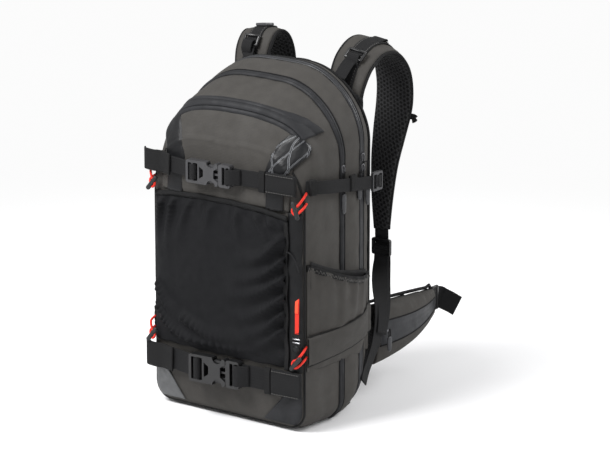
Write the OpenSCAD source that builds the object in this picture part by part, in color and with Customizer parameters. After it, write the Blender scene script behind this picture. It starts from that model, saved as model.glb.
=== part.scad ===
// Ski and snowboard daypack, zipped shut and standing on its base.
// Millimetres. +Z is up, +X is the wearer's left, -Y is the front face and +Y is the side that the wearer's back meets.
// The origin is the centre of the flat base panel.

/* [Bag] */
// Half width of the bag at its middle
bag_half_w = 146; // [140:1:152]
// Height of the bag at the main zip
bag_h = 531; // [510:1:550]
// Depth station of the front seam
front_y = -80; // [-84:1:-76]
// Depth station of the back panel seam
rear_y = 80; // [76:1:84]
// Thickness of the sewn shells, with their lining
wall = 3; // [2:0.5:4]
// How far the front panel swells past its seam
front_bulge = 14; // [8:1:18]

/* [Webbing] */
// Width of the upper front webbing
upper_w = 25; // [20:1:25]
// Width of the lower front webbing
lower_w = 34; // [30:1:34]
// Width of the side compression webbing
side_w = 20; // [15:1:20]
// Width of the shoulder adjuster webbing
adjuster_w = 25; // [20:1:25]
// Width of the hip belt webbing
belt_w = 38; // [30:1:38]
// Thickness of every webbing
web_t = 1.8; // [1.2:0.1:2]

/* [Harness] */
// Widest part of a shoulder pad
pad_w = 68; // [60:1:70]
// Thickness of a shoulder pad
pad_t = 13; // [10:1:14]
// Length of a hip wing, from its fold line to its tip
wing_l = 205; // [190:1:215]
// Height of a hip wing at its fold line
wing_h = 104; // [96:1:108]
// Thickness of the hip wing's foam
wing_t = 14; // [12:1:15]

/* [Hardware] */
// Travel of a clip's tongue out of its socket
clip_travel = 24; // [18:1:26]
// Diameter of the gear loop cord
loop_d = 3; // [2.5:0.5:3]
// Travel of the slider on the main zip's straight leg
zip_travel = 36; // [20:1:38]

/* [Hidden] */

seam_gap = 0.4;         // clear gap between sewn neighbours
base_t = 2.5;           // base panel thickness
arc_steps = 7;          // facets of each corner of the bag's outline
strap_z = 383;          // height of the upper front webbing
lower_z = 77;           // height of the lower front webbing
strap_lean = 4;         // degrees that the tongue webbing leans back towards the bag's side
main_zip_y = [50, 58];  // the two edges of the main zip's tape
front_zip_y = [0, 8];   // the two edges of the front compartment's zip tape
quarter = 90;

// ---- the bag's shape: tables of depth station against size ----
function half_w(y) = lookup(y, [
    [front_y, bag_half_w - 6], [-60, bag_half_w - 3], [-10, bag_half_w], [55, bag_half_w - 1], [rear_y, bag_half_w - 8]
]);
function top_z(y) = lookup(y, [
    [front_y, bag_h - 99], [-60, bag_h - 50], [-35, bag_h - 33], [-10, bag_h - 22],
    [20, bag_h - 10], [55, bag_h], [rear_y, bag_h - 5]
]);
function bottom_z(y) = base_t + seam_gap + lookup(y, [[front_y, 5], [-62, 0], [54, 0], [rear_y, 32]]);
function top_r(y) = lookup(y, [[front_y, 92], [-60, 104], [rear_y, 106]]);
function bottom_r(y) = lookup(y, [[front_y, 26], [-10, 36], [20, 44], [55, 60], [rear_y, 86]]);
function crown(y) = lookup(y, [[front_y, 0], [-60, 10], [rear_y, 14]]);

// One closed outline of the bag at depth y, taken in by inset, as [x, y, z] points.
function outline(y, inset = 0) = let (
    a = half_w(y) - inset, t = top_z(y) - inset, b = bottom_z(y) + inset,
    rt = top_r(y) - inset, rb = bottom_r(y) - inset, c = crown(y)
) [for (q = [0:3]) for (i = [0:arc_steps]) let (
    ang = -quarter + quarter * (q + i / arc_steps),
    r = (q == 0 || q == 3) ? rb : rt,
    cx = ((q == 0 || q == 1) ? 1 : -1) * (a - r),
    cz = (q == 0 || q == 3) ? b + r : t - r,
    x = cx + r * cos(ang),
    z = cz + r * sin(ang)
) [x, y, z - ((q == 1 || q == 2) ? c * pow(x / a, 2) * max(0, sin(q == 1 ? ang : 180 - ang)) : 0)]];

// Half width of the bag's outline at depth y and height z.
function half_at(y, z) = let (
    a = half_w(y), up = top_z(y) - top_r(y), low = bottom_z(y) + bottom_r(y)
) z > up ? a - top_r(y) + sqrt(max(0, pow(top_r(y), 2) - pow(z - up, 2)))
  : z < low ? a - bottom_r(y) + sqrt(max(0, pow(bottom_r(y), 2) - pow(low - z, 2)))
  : a;

// Front surface of the bag at [x, z]: flat at its seam, swollen between the seams and pulled in under each strap.
strap_span = strap_z - lower_z;
function swell(z) = front_bulge * (1 - pow(abs(2 * (z - 8) / (bag_h - 107) - 1), 3))
    + 2.5 * cos(360 * (z - lower_z - strap_span / 2) / strap_span);
function front_at(x, z) = front_y - wall - max(0, swell(z)) * (1 - pow(min(1, abs(x) / half_at(front_y, z)), 2.4));

// Joins rings of points into one closed solid: a loop, or a run with two ends.
// A ring's second half runs back beside its first half, so each end is closed by a strip of quads.
// Where a strap twists, both of its faces are split along the same diagonal, which keeps its thickness even.
module sweep(rings, closed = false, twisted = false) {
    n = len(rings[0]);
    m = len(rings);
    far = (m - 1) * n;
    points = [for (r = rings) for (p = r) p];
    sides = [for (i = [0:closed ? m - 1 : m - 2]) for (j = [0:n - 1]) let (
        k = (i + 1) % m, l = (j + 1) % n
    ) each twisted && j >= n / 2
        ? [[i * n + j, i * n + l, k * n + j], [i * n + l, k * n + l, k * n + j]]
        : [[i * n + j, i * n + l, k * n + l], [i * n + j, k * n + l, k * n + j]]];
    ends = closed ? [] : [for (j = [0:n / 2 - 2]) each [
        [n - 1 - j, n - 2 - j, j + 1, j], [far + j, far + j + 1, far + n - 2 - j, far + n - 1 - j]
    ]];
    polyhedron(points = points, faces = concat(sides, ends), convexity = 8);
}

// A band of the bag's shell between depth stations.
module shell_band(stations, lift = 0, t = wall) {
    outer = [for (y = stations) outline(y, -lift)];
    inner = [for (y = stations) outline(y, t - lift)];
    m = len(stations);
    sweep([for (j = [0:len(outer[0]) - 1]) concat(
        [for (i = [0:m - 1]) outer[i][j]], [for (i = [m - 1:-1:0]) inner[i][j]]
    )], closed = true);
}

// A sheet over the front surface: rows in z, from left(z) to right(z), lifted off by off(x, z).
module front_sheet(z0, z1, rows, cols, left, right, off, t) {
    sweep([for (r = [0:rows]) let (z = z0 + (z1 - z0) * r / rows, l = left(z), w = right(z) - l) concat(
        [for (c = [0:cols]) let (x = l + w * c / cols) [x, front_at(x, z) - off(x, z), z]],
        [for (c = [cols:-1:0]) let (x = l + w * c / cols) [x, front_at(x, z) - off(x, z) + t, z]]
    )]);
}

// A flat strap through centre points, w wide along the directions across and t thick.
module ribbon(points, across, w, t) {
    m = len(points) - 1;
    function unit(v) = v / norm(v);
    function at(v, i) = is_num(v) ? v : v[i];
    sweep([for (i = [0:m]) let (
        run = unit(points[min(m, i + 1)] - points[max(0, i - 1)]),
        side = unit(across[i] - run * (across[i] * run)),
        up = cross(side, run),
        a = side * at(w, i) / 2,
        b = up * at(t, i) / 2
    ) [points[i] - a - b, points[i] + a - b, points[i] + a + b, points[i] - a + b]], twisted = true);
}

// A padded strap: the same run as a ribbon, with an oval section of 10 sides.
module padded_run(points, across, w, t) {
    m = len(points) - 1;
    function unit(v) = v / norm(v);
    sweep([for (i = [0:m]) let (
        run = unit(points[min(m, i + 1)] - points[max(0, i - 1)]),
        side = unit(across[i] - run * (across[i] * run)),
        up = cross(side, run)
    ) [for (a = [0:36:359]) let (c = cos(a), s = sin(a))
        points[i] + side * (w[i] / 2 * sign(c) * pow(abs(c), 0.45)) + up * (t[i] / 2 * sign(s) * pow(abs(s), 0.7))]]);
}

// A round cord through points, with 8 sides.
module cord(points, d) {
    m = len(points) - 1;
    function unit(v) = v / norm(v);
    sweep([for (i = [0:m]) let (
        run = unit(points[min(m, i + 1)] - points[max(0, i - 1)]),
        side = unit(cross(run, abs(run.z) > 0.9 ? [1, 0, 0] : [0, 0, 1])),
        up = cross(side, run)
    ) [for (a = [0:45:359]) points[i] + (side * cos(a) + up * sin(a)) * d / 2]]);
}

function flip(points) = [for (p = points) [-p.x, p.y, p.z]];
function rounded(w, h, r, n = 4) = [for (q = [0:3]) for (i = [0:n]) let (
    ang = quarter * (q + i / n), sx = (q == 0 || q == 3) ? 1 : -1, sz = (q < 2) ? 1 : -1
) [sx * (w / 2 - r) + r * cos(ang), sz * (h / 2 - r) + r * sin(ang)]];

// Draws a shape of the local XZ plane as a plate from y0 to y1.
module plate(y0, y1) { translate([0, y1, 0]) rotate([quarter, 0, 0]) linear_extrude(y1 - y0) children(); }
module both_sides() { children(); mirror([1, 0, 0]) children(); }

// ---- bag shells ----
olive = [0.27, 0.26, 0.25];
black = [0.09, 0.09, 0.1];
coated = [0.2, 0.21, 0.23];
red = [0.85, 0.12, 0.08];
grey = [0.4, 0.41, 0.43];

// The base panel reaches back under the raised rear corner, so that the harness doesn't tip the bag.
base_y = [-59, 80];
module base_panel() color(coated) translate([0, (base_y[0] + base_y[1]) / 2, 0])
    linear_extrude(base_t) polygon(rounded(236, base_y[1] - base_y[0], 24));
module back_panel() color(black)
    plate(rear_y + seam_gap, rear_y + seam_gap + wall) polygon([for (p = outline(rear_y)) [p.x, p.z]]);
module rear_gusset() color(olive) shell_band([main_zip_y[1] + seam_gap, rear_y]);
module middle_gusset() color(olive) shell_band([front_zip_y[1] + seam_gap, 20, 35, main_zip_y[0] - seam_gap]);
module front_gusset() color(olive) shell_band([front_y, -70, -60, -35, -10, front_zip_y[0] - seam_gap]);

// Each long zip is one closed ring: its tape, and below its ends the seam that closes the ring.
module zip_band(stations) { shell_band(stations, lift = 0.3, t = 2.5); }
module main_zip_tape() color(coated) zip_band(main_zip_y);
module front_zip_tape() color(coated) zip_band(front_zip_y);

module front_panel() color(olive) front_sheet(9, bag_h - 100, 20, 12,
    function (z) -half_at(front_y, z) + 0.2, function (z) half_at(front_y, z) - 0.2,
    function (x, z) 0, wall - seam_gap);

// The arched zip of the goggle pocket, across the upper front of the bag.
goggle_z = bag_h - 112;
module goggle_zip_tape() color(coated) front_sheet(goggle_z - 14, goggle_z, 3, 16,
    function (z) -104, function (z) 104, function (x, z) 2.4, 2);

// Quilted inserts on each side of the middle of the front.
function insert_x(z) = 82 + 38 * pow(max(0, z - 345) / 80, 1.4);
module insert() front_sheet(347, goggle_z - 18, 8, 4,
    function (z) insert_x(z) - 34, function (z) min(insert_x(z), half_at(front_y, z) - 4), function (x, z) 2.4, 2);
module corner_patch() front_sheet(14, 56, 5, 3,
    function (z) 70 + (z - 14) * 0.9, function (z) half_at(front_y, z) - 3, function (x, z) 2.2, 1.8);
module coated_patches() color(coated) both_sides() { insert(); corner_patch(); }

// Stretch pocket: a taut sheet over the middle of the front.
pocket_z = [113, 336];
module stretch_pocket() color(black) front_sheet(pocket_z[0], pocket_z[1], 14, 12,
    function (z) -134, function (z) 122, function (x, z) 4.4 + 3.4 * sin(180 * (z - pocket_z[0]) / 230), 1.8);
module pocket_binding() color(black) {
    front_sheet(pocket_z[1] + 0.5, pocket_z[1] + 9, 1, 12,
        function (z) -134, function (z) 122, function (x, z) 4.6, 2.4);
    front_sheet(pocket_z[0] - 11, pocket_z[0] - 0.5, 1, 12,
        function (z) -134, function (z) 122, function (x, z) 4.4, 2.4);
    front_sheet(pocket_z[0] - 11, pocket_z[1] + 9, 10, 1,
        function (z) 123, function (z) 129, function (x, z) 4.4, 2.4);
}

// ---- what the bag holds inside ----
module frame_sheet() color(grey) plate(rear_y - 5.5, rear_y - 4.5) polygon([for (p = rounded(220, 400, 60)) p + [0, 268]]);
module frame_stays() color([0.7, 0.7, 0.72]) both_sides()
    translate([56, rear_y - 8, 90]) cube([13, 1.8, 360]);
module hydration_sleeve() color(black) plate(rear_y - 20, rear_y - 19) polygon([for (p = rounded(200, 320, 20)) p + [0, 240]]);

// ---- back of the bag ----
back_y = rear_y + 2 * seam_gap + wall; // plane that the back pads and the yoke are sewn on
module pad_block(w, h, t, r) {
    hull() for (s = [[1, 0], [0.8, 1]])
        translate([0, s[1] * t, 0]) plate(0, 0.4) polygon(rounded(w * s[0], h * s[0], r * s[0]));
}
module back_pads() color(black) {
    both_sides() translate([72, back_y, 398]) rotate([0, 8, 0]) pad_block(92, 96, 22, 26);
    both_sides() translate([74, back_y, 276]) pad_block(96, 124, 15, 22);
    translate([0, back_y, 132]) pad_block(192, 128, 20, 34);
}
module strap_yoke() color(black) both_sides() translate([86, back_y, 472]) plate(0, 4) polygon(rounded(84, 30, 8));

// ---- side pockets and bands ----
// Side pocket: its open mouth falls from the front to the rear, and it stands off the bag between its two seams.
mouth = [258, 216];
pocket_y = [-74, 66];
function mouth_z(y) = mouth[0] + (mouth[1] - mouth[0]) * (y - pocket_y[0]) / (pocket_y[1] - pocket_y[0]);
function stand_off(y, s) = 24 * (1 - pow(abs(2 * (y - pocket_y[0]) / (pocket_y[1] - pocket_y[0]) - 1), 2.2))
    * pow(sin(quarter * s), 0.8);
module side_pocket() {
    ys = [for (i = [0:12]) pocket_y[0] + (pocket_y[1] - pocket_y[0]) * i / 12];
    low = 96;
    steps = 7;
    sweep([for (y = ys) concat(
        [for (i = [0:steps]) let (s = i / steps, z = low + (mouth_z(y) - low) * s)
            [half_at(y, z) + 0.6 + stand_off(y, s), y, z]],
        [for (i = [steps:-1:0]) let (s = i / steps, z = low + (mouth_z(y) - low) * s)
            [half_at(y, z) + 2.6 + stand_off(y, s), y, z]]
    )]);
}
module side_pockets() color(olive) both_sides() side_pocket();

// Wide stretch band that crosses the lower part of a side pocket.
module side_band() {
    ys = [for (i = [0:12]) pocket_y[0] - 1 + (pocket_y[1] - pocket_y[0] + 2) * i / 12];
    function mid(y) = 128 + 18 * (y - pocket_y[0]) / 140;
    function skin(y, z) = half_at(y, z) + 3.1 + stand_off(y, max(0, (z - 96) / (mouth_z(y) - 96)));
    sweep([for (y = ys) [for (p = [[-23, 0], [0, 0], [23, 0], [23, 1.6], [0, 1.6], [-23, 1.6]])
        let (z = mid(y) + p[0]) [skin(y, z) + p[1], y, z]]]);
}
module side_bands() color(olive) both_sides() side_band();

// Side compression strap: anchored at the front seam, it stands off over the zips and ends in a ladder lock.
comp_x = bag_half_w + 10;
module compression_strap() {
    run = [[bag_half_w - 4, front_y + 4, 371], [bag_half_w + 3, -64, 371], [comp_x, -40, 370],
           [comp_x, 0, 367], [comp_x, 40, 363], [comp_x, 66, 360.5]];
    ribbon(run, [for (p = run) [0, 0, 1]], side_w, web_t);
}
module compression_straps() color(black) both_sides() compression_strap();

// Ladder lock: a frame with bars of the webbing's width plus a clearance, in its own XZ plane.
module ladder_lock(w, l = 24, t = 5) {
    plate(-t / 2, t / 2) difference() {
        polygon(rounded(l, w + 9, 3));
        for (x = [-l / 4 - 0.6, l / 4 + 0.6]) translate([x, 0]) polygon(rounded(l / 2 - 5, w + 2, 1));
    }
}
module compression_ladders() color(grey) both_sides()
    translate([comp_x, 78.8, 359.8]) rotate([0, 0, quarter]) ladder_lock(side_w);

// ---- side release clips on the front straps ----
// Local frame: X runs along the webbing, -Y faces out, and the socket's mouth is at +X.
clip = [[80, 35, 11], [92, 43, 13]]; // length, height and thickness of the upper and the lower clip
clip_at = [[-15, front_y - wall - 24, strap_z], [-8, front_y - wall - 21, lower_z]];
module clip_place(k) { translate(clip_at[k]) rotate([0, 0, strap_lean]) children(); }

module socket(k) {
    l = clip[k][0];
    h = clip[k][1];
    t = clip[k][2];
    hollow = t - 4.4;
    mouth_x = 0.22 * l;
    difference() {
        plate(-t / 2, t / 2) difference() {
            translate([(mouth_x - l / 2) / 2, 0]) polygon(rounded(l / 2 + mouth_x, h, 4));
            translate([-0.415 * l, 0]) polygon(rounded(0.07 * l, h - 8, 1)); // outer webbing slot
            translate([-0.285 * l, 0]) polygon(rounded(0.1 * l, h - 8, 1.5)); // inner webbing slot
            translate([-0.2 * l, 0]) polygon([[0, h * 0.27], [0.09 * l, h * 0.14], [0.09 * l, -h * 0.14], [0, -h * 0.27]]);
            translate([mouth_x, 0]) polygon([[-0.1 * l, h * 0.17], [1, h * 0.33], [1, -h * 0.33], [-0.1 * l, -h * 0.17]]);
            for (s = [-1, 1]) translate([0.06 * l, s * h / 2]) circle(d = 0.19 * l, $fn = 32); // finger notches
        }
        translate([-0.14 * l, -hollow / 2, -h / 2 + 2.2]) cube([l, hollow, h - 4.4]);
    }
}
module tongue(k) {
    l = clip[k][0];
    h = clip[k][1];
    t = clip[k][2];
    thick = t - 6;
    translate([0.36 * l, 0, 0]) plate(-t / 2, t / 2) difference() {
        polygon(rounded(0.26 * l, h, 4));
        for (x = [-0.02 * l, 0.075 * l]) translate([x, 0]) polygon(rounded(0.06 * l, h - 8, 1));
    }
    translate([-0.08 * l, -thick / 2, -1.6]) cube([0.32 * l, thick, 3.2]); // guide tongue
}
// A prong bends about its root at the tongue's shoulder; side is 1 for the top one and -1 for the low one.
prong_root = [0.2, 0.25]; // share of the clip's length, and of its height from the middle line
module prong(k, side) {
    l = clip[k][0];
    h = clip[k][1];
    thick = clip[k][2] - 6.2;
    reach = h / 2 - 3.8;
    plate(-thick / 2, thick / 2) scale([1, side]) polygon([
        [prong_root[0] * l + 1.6, h * 0.18], [prong_root[0] * l + 1.6, h * 0.33], [0.12 * l, reach],
        [0.0, reach], [-0.08 * l, reach - 4], [-0.07 * l, reach - 6.5], [0.05 * l, reach - 4.5], [0.12 * l, h * 0.2]
    ]);
}
module upper_socket() color(grey) clip_place(0) socket(0);
module upper_tongue() color(grey) clip_place(0) tongue(0);
module upper_prong_top() color(grey) clip_place(0) prong(0, 1);
module upper_prong_low() color(grey) clip_place(0) prong(0, -1);
module lower_socket() color(black) clip_place(1) socket(1);
module lower_tongue() color(black) clip_place(1) tongue(1);
module lower_prong_top() color(black) clip_place(1) prong(1, 1);
module lower_prong_low() color(black) clip_place(1) prong(1, -1);

// Webbing from the socket to the bag's -X side, which follows the front of the bag.
module anchor_run(k, w) {
    l = clip[k][0];
    c = clip_at[k];
    z = c.z;
    run = [[c.x - l / 2 - 2, c.y + 2, z], [-75, c.y + 5, z], [-105, c.y + 9, z], [-130, front_y - wall - 6, z],
           [-146, front_y - wall - 4, z], [-153, front_y, z]];
    ribbon(run, [for (p = run) [0, 0, 1]], w, web_t);
    // The stretch that lies on the socket's bars.
    translate(c) rotate([0, 0, strap_lean]) translate([-0.35 * l, -clip[k][2] / 2 - web_t / 2 - 0.2, 0])
        cube([0.06 * l, web_t, w], center = true);
}
// Webbing that moves with the tongue and runs inside the sleeve at its far end.
module tongue_run(k, w) clip_place(k) {
    l = clip[k][0];
    translate([l / 2 + 1, -web_t / 2 + 2, -w / 2]) cube([108 - l / 2 - clip_at[k].x * 0.2, web_t, w]);
    translate([0.4 * l, -clip[k][2] / 2 - web_t / 2 - 0.2, 0]) cube([0.04 * l, web_t, w], center = true);
}
module anchor_webbing() color(black) { anchor_run(0, upper_w); anchor_run(1, lower_w); }
module upper_tongue_webbing() color(black) tongue_run(0, upper_w);
module lower_tongue_webbing() color(black) tongue_run(1, lower_w);

// Flat sleeves that the tongue webbing slides into, each open at both ends.
module sleeve(k, w) clip_place(k) {
    gap = web_t + 1.2;
    x0 = 100;
    translate([x0, 2 - gap / 2 - 1.6, 0]) difference() {
        translate([0, 0, -w / 2 - 3]) cube([54, gap + 3.2, w + 6]);
        translate([-1, 1.6, -w / 2 - 0.8]) cube([56, gap, w + 1.6]);
    }
}
module strap_sleeves() color(black) { sleeve(0, upper_w); sleeve(1, lower_w); }

// ---- shoulder harness ----
// Centre line of each shoulder pad, from its sewn root over the shoulder and down to its tip.
right_run = [[85, 97, 474], [85, 103, 498], [85, 120, 524], [85, 150, 541], [86, 182, 538], [87, 206, 514],
             [87, 218, 478], [88, 216, 440], [92, 198, 398], [96, 181, 356], [100, 170, 306], [104, 164, 258]];
left_run = [[-92, 97, 474], [-95, 100, 502], [-96, 108, 528], [-95, 124, 546], [-92, 142, 540], [-90, 153, 516],
            [-90, 158, 480], [-91, 159, 440], [-94, 157, 398], [-97, 154, 352], [-101, 151, 304], [-105, 149, 258]];
pad_widths = [60, 64, 67, 68, 68, 68, 67, 66, 58, 48, 38, 28] * pad_w / 68;
pad_thicks = [9, 12, 13, 13, 13, 13, 13, 13, 12.5, 12, 11, 8] * pad_t / 13;
// The pads lie across the shoulders, so they lean out and down over the top.
right_across = [for (i = [0:11]) [1, 0, i < 6 ? -0.28 : -0.05]];
left_across = [for (i = [0:11]) [1, 0, i < 6 ? 0.12 : 0]];

module shoulder_strap(run, across) padded_run(run, across, pad_widths, pad_thicks);
module right_shoulder_strap() color(black) shoulder_strap(right_run, right_across);
module left_shoulder_strap() color(black) shoulder_strap(left_run, left_across);

// Ladder lock at a pad's tip, with the short webbing that holds it; it hangs in line with the pad.
module adjuster(tip) { translate(tip - [0, 0, 16]) rotate([0, quarter, 0]) ladder_lock(adjuster_w, 26, 5); }
module right_adjuster() color(coated) adjuster([105, 163, 246]);
module left_adjuster() color(coated) adjuster([-106, 149, 246]);

// Adjuster webbing from below the ladder lock, outside the hip wing's root, to the seam at the bag's base.
// It turns a quarter as it falls, from lying across the pad's tip to lying along the bag's side.
right_web = [[106, 161, 212], [109, 155, 200], [116, 144, 186], [126, 131, 172], [136, 119, 156], [143, 108, 138],
             [146, 99, 118], [146, 90, 96], [144, 80, 76], [144, 70, 60], [147, 60, 46]];
left_web = [[-107, 148, 212], [-110, 144, 200], [-117, 135, 186], [-126, 125, 172], [-136, 115, 156],
            [-143, 106, 138], [-146, 98, 118], [-146, 90, 96], [-144, 80, 76], [-144, 70, 60], [-147, 60, 46]];
web_across = [[1, 0.1, 0], [1, 0.3, 0], [0.9, 0.6, -0.1], [0.7, 0.8, -0.2], [0.4, 1, -0.3], [0.15, 1, -0.3],
              [0, 1, -0.3], [-0.1, 1, -0.35], [-0.2, 1, -0.4], [-0.25, 1, -0.5], [-0.3, 1, -0.5]];
module adjuster_webbing() color(black) {
    ribbon(right_web, web_across, adjuster_w, web_t);
    ribbon(left_web, flip(web_across), adjuster_w, web_t);
}

// Haul handle: a doubled webbing loop that stands up from the yoke.
handle_y = back_y + 10;
module haul_handle() color(black) {
    run = [for (a = [-90:15:90]) [42 * sin(a), handle_y, 490 + 30 * pow(cos(a), 0.6)]];
    ribbon(run, [for (p = run) [0, 1, 0]], 14, 3);
}

// ---- hip belt ----
wing_x = 112;        // outer face of the foam
wing_root_y = back_y + 8;
wing_rows = 10;
function wing_mid(s) = 98 + 16 * s;             // height of the wing's middle, s from its root to its tip
function wing_half(s) = wing_h / 2 - 31 * pow(s, 1.5);
module wing() {
    sweep([for (i = [0:wing_rows]) let (s = i / wing_rows, y = wing_root_y + wing_l * s, h = wing_half(s), m = wing_mid(s))
        [for (a = [0:30:359]) [wing_x - wing_t / 2 + 6 * sin(180 * s) + wing_t / 2 * sign(cos(a)) * pow(abs(cos(a)), 0.6),
            y, m + h * sign(sin(a)) * pow(abs(sin(a)), 0.5)]]]);
}
module left_hip_wing() color(black) mirror([1, 0, 0]) wing();
module right_hip_wing() color(black) wing();

// Zipped pocket on the outside of each wing.
module hip_pocket() {
    sweep([for (i = [0:8]) let (
        s = 0.18 + 0.78 * i / 8, y = wing_root_y + wing_l * s, h = wing_half(s) - 4, m = wing_mid(s),
        x = wing_x + 6 * sin(180 * s) + 0.6, d = 4 + 22 * pow(sin(20 + 150 * i / 8), 0.8)
    ) [[x, y, m - h], [x + 0.75 * d, y, m - h + 4], [x + d, y, m - h * 0.4], [x + d, y, m + h * 0.3],
       [x + 0.7 * d, y, m + h * 0.85], [x, y, m + h]]]);
}
module left_hip_pocket() color(olive) mirror([1, 0, 0]) hip_pocket();
module right_hip_pocket() color(olive) hip_pocket();

// Belt end: a ladder lock at the wing's tip, and the folded tail of the belt webbing.
module belt_end() {
    tip_y = wing_root_y + wing_l + 1;
    translate([wing_x - 8, tip_y + 10, wing_mid(1)]) rotate([0, 0, quarter]) ladder_lock(belt_w - 6, 18, 5);
    tail = [[wing_x - 7, tip_y + 20, wing_mid(1)], [wing_x - 2, tip_y + 24, wing_mid(1) - 3],
            [wing_x + 8, tip_y + 29, wing_mid(1) - 8], [wing_x + 20, tip_y + 33, wing_mid(1) - 14]];
    ribbon(tail, [for (p = tail) [0, 0, 1]], belt_w - 4, 2 * web_t);
}
module left_belt_end() color(black) mirror([1, 0, 0]) belt_end();
module right_belt_end() color(black) belt_end();

// ---- zip sliders and pullers ----
module slider_body() { // it lies on a +X face, and its bridge stands out
    translate([0, -4.5, -6]) cube([3, 9, 12]);
    translate([3, -1.2, -5]) cube([1.6, 2.4, 9]);
}
// A puller hangs at y: a doubled cord and a moulded grip.
module puller(cord_l, grip_l, y = 0) {
    for (x = [1, 3]) translate([x, y, -cord_l]) cylinder(d = 1.6, h = cord_l, $fn = 16);
    translate([0.2, min(0, y) - 0.8, -1.4]) cube([3.6, abs(y) + 1.6, 1.4]); // bar through the slider's bridge
    translate([0.2, y, -cord_l - grip_l / 2]) rotate([0, 0, quarter]) plate(-3.6, 0) polygon([
        [-4.6, grip_l / 2], [4.6, grip_l / 2], [3.4, grip_l * 0.2], [3.6, -grip_l * 0.1], [5, -grip_l * 0.3],
        [3, -grip_l / 2], [-3, -grip_l / 2], [-5, -grip_l * 0.3], [-3.6, -grip_l * 0.1], [-3.4, grip_l * 0.2]
    ]);
}
// Heights of the two main sliders, which meet there when the bag is shut; their pullers hang side by side.
main_z = [400.5, 384];
puller_y = 10.4;
slider_x = bag_half_w + 0.6;
main_at = [for (z = main_z) [slider_x, (main_zip_y[0] + main_zip_y[1]) / 2, z]];
front_at_slider = [slider_x + 0.4, (front_zip_y[0] + front_zip_y[1]) / 2, 392];
module main_upper_slider() color(grey) translate(main_at[0]) slider_body();
module main_lower_slider() color(grey) translate(main_at[1]) slider_body();
module front_zip_slider() color(grey) translate(front_at_slider) slider_body();
module main_upper_puller() color(coated) translate(main_at[0] - [0, 0, 8]) puller(38, 30, puller_y);
module main_lower_puller() color(coated) translate(main_at[1] - [0, 0, 7]) puller(14, 26, -puller_y);
module front_zip_puller() color(coated) translate(front_at_slider - [0, 0, 7]) puller(30, 32);

// The goggle zip's puller hangs at the bag's -X side, and each hip pocket's puller at the front of its zip.
goggle_at = [-112, front_at(112, goggle_z) - 4, goggle_z - 16];
hip_puller_at = [wing_x + 28, wing_root_y + 42, 112];
module goggle_zip_puller() color(coated) translate(goggle_at) rotate([0, 0, -quarter]) puller(10, 22);
module right_hip_puller() color(coated) translate(hip_puller_at) puller(12, 24);
module left_hip_puller() color(coated) mirror([1, 0, 0]) translate(hip_puller_at) puller(12, 24);

// ---- gear loops and pull tab ----
// Each loop leaves the front seam and hangs round a bar toggle.
loop_drop = 16;
loop_at = [[135, front_y - 6, 361], [-137, front_y - 5, 361], [135, front_y - 6, 126], [-140, front_y - 5, 122]];
loop_run = [for (a = [0:15:180]) [4 * cos(a), -1.5 * sin(a), -loop_drop * sin(a)]];
module gear_loops() color(red) for (p = loop_at) translate(p) cord(loop_run, loop_d);
toggle_tilt = [-20, 40, 40, 40];
module toggle(k) color(black) translate(loop_at[k] + [0, -9.5, 2 - loop_drop]) rotate([0, toggle_tilt[k], 0]) {
    cylinder(d = 7, h = 22, center = true, $fn = 32);
    for (s = [-1, 1]) translate([0, 0, s * 11]) sphere(d = 7, $fn = 32);
}
module toggle_upper_right() toggle(0);
module toggle_upper_left() toggle(1);
module toggle_lower_right() toggle(2);
module toggle_lower_left() toggle(3);
module pull_tab() color(red) translate([134, front_y - 8.6, 146]) {
    translate([-3, 0, 13]) cube([6, 2, 50]);
    cube([8, 3, 24], center = true);
}

base_panel();
back_panel();
rear_gusset();
main_zip_tape();
middle_gusset();
front_zip_tape();
front_gusset();
front_panel();
goggle_zip_tape();
coated_patches();
stretch_pocket();
pocket_binding();
frame_sheet();
frame_stays();
hydration_sleeve();
back_pads();
strap_yoke();
side_pockets();
side_bands();
compression_straps();
compression_ladders();
strap_sleeves();
anchor_webbing();
adjuster_webbing();
gear_loops();
pull_tab();
haul_handle();
upper_socket();
upper_tongue();
upper_prong_top();
upper_prong_low();
upper_tongue_webbing();
lower_socket();
lower_tongue();
lower_prong_top();
lower_prong_low();
lower_tongue_webbing();
left_shoulder_strap();
right_shoulder_strap();
left_adjuster();
right_adjuster();
left_hip_wing();
right_hip_wing();
left_hip_pocket();
right_hip_pocket();
left_belt_end();
right_belt_end();
left_hip_puller();
right_hip_puller();
main_upper_slider();
main_upper_puller();
main_lower_slider();
main_lower_puller();
front_zip_slider();
front_zip_puller();
goggle_zip_puller();
toggle_upper_right();
toggle_upper_left();
toggle_lower_right();
toggle_lower_left();
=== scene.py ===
import math
import bpy
from mathutils import Matrix, Vector, noise
from mathutils.bvhtree import BVHTree


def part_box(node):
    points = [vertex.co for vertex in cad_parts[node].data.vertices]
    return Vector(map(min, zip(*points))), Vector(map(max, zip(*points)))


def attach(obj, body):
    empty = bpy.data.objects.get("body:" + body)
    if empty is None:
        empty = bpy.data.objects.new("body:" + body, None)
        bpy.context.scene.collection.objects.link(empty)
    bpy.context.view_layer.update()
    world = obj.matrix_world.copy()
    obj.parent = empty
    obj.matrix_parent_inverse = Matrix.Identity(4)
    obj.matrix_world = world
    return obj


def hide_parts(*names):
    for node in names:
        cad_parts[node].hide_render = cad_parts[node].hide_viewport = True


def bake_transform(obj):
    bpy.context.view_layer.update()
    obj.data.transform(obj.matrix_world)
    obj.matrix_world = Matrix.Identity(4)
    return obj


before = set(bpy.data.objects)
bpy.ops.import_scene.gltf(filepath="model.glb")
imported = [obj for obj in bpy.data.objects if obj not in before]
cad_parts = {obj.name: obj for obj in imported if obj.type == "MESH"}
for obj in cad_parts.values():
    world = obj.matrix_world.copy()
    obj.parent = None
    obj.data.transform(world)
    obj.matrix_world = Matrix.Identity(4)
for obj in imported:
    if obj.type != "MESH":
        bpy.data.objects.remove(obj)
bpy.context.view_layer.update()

mm = 0.001


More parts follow.
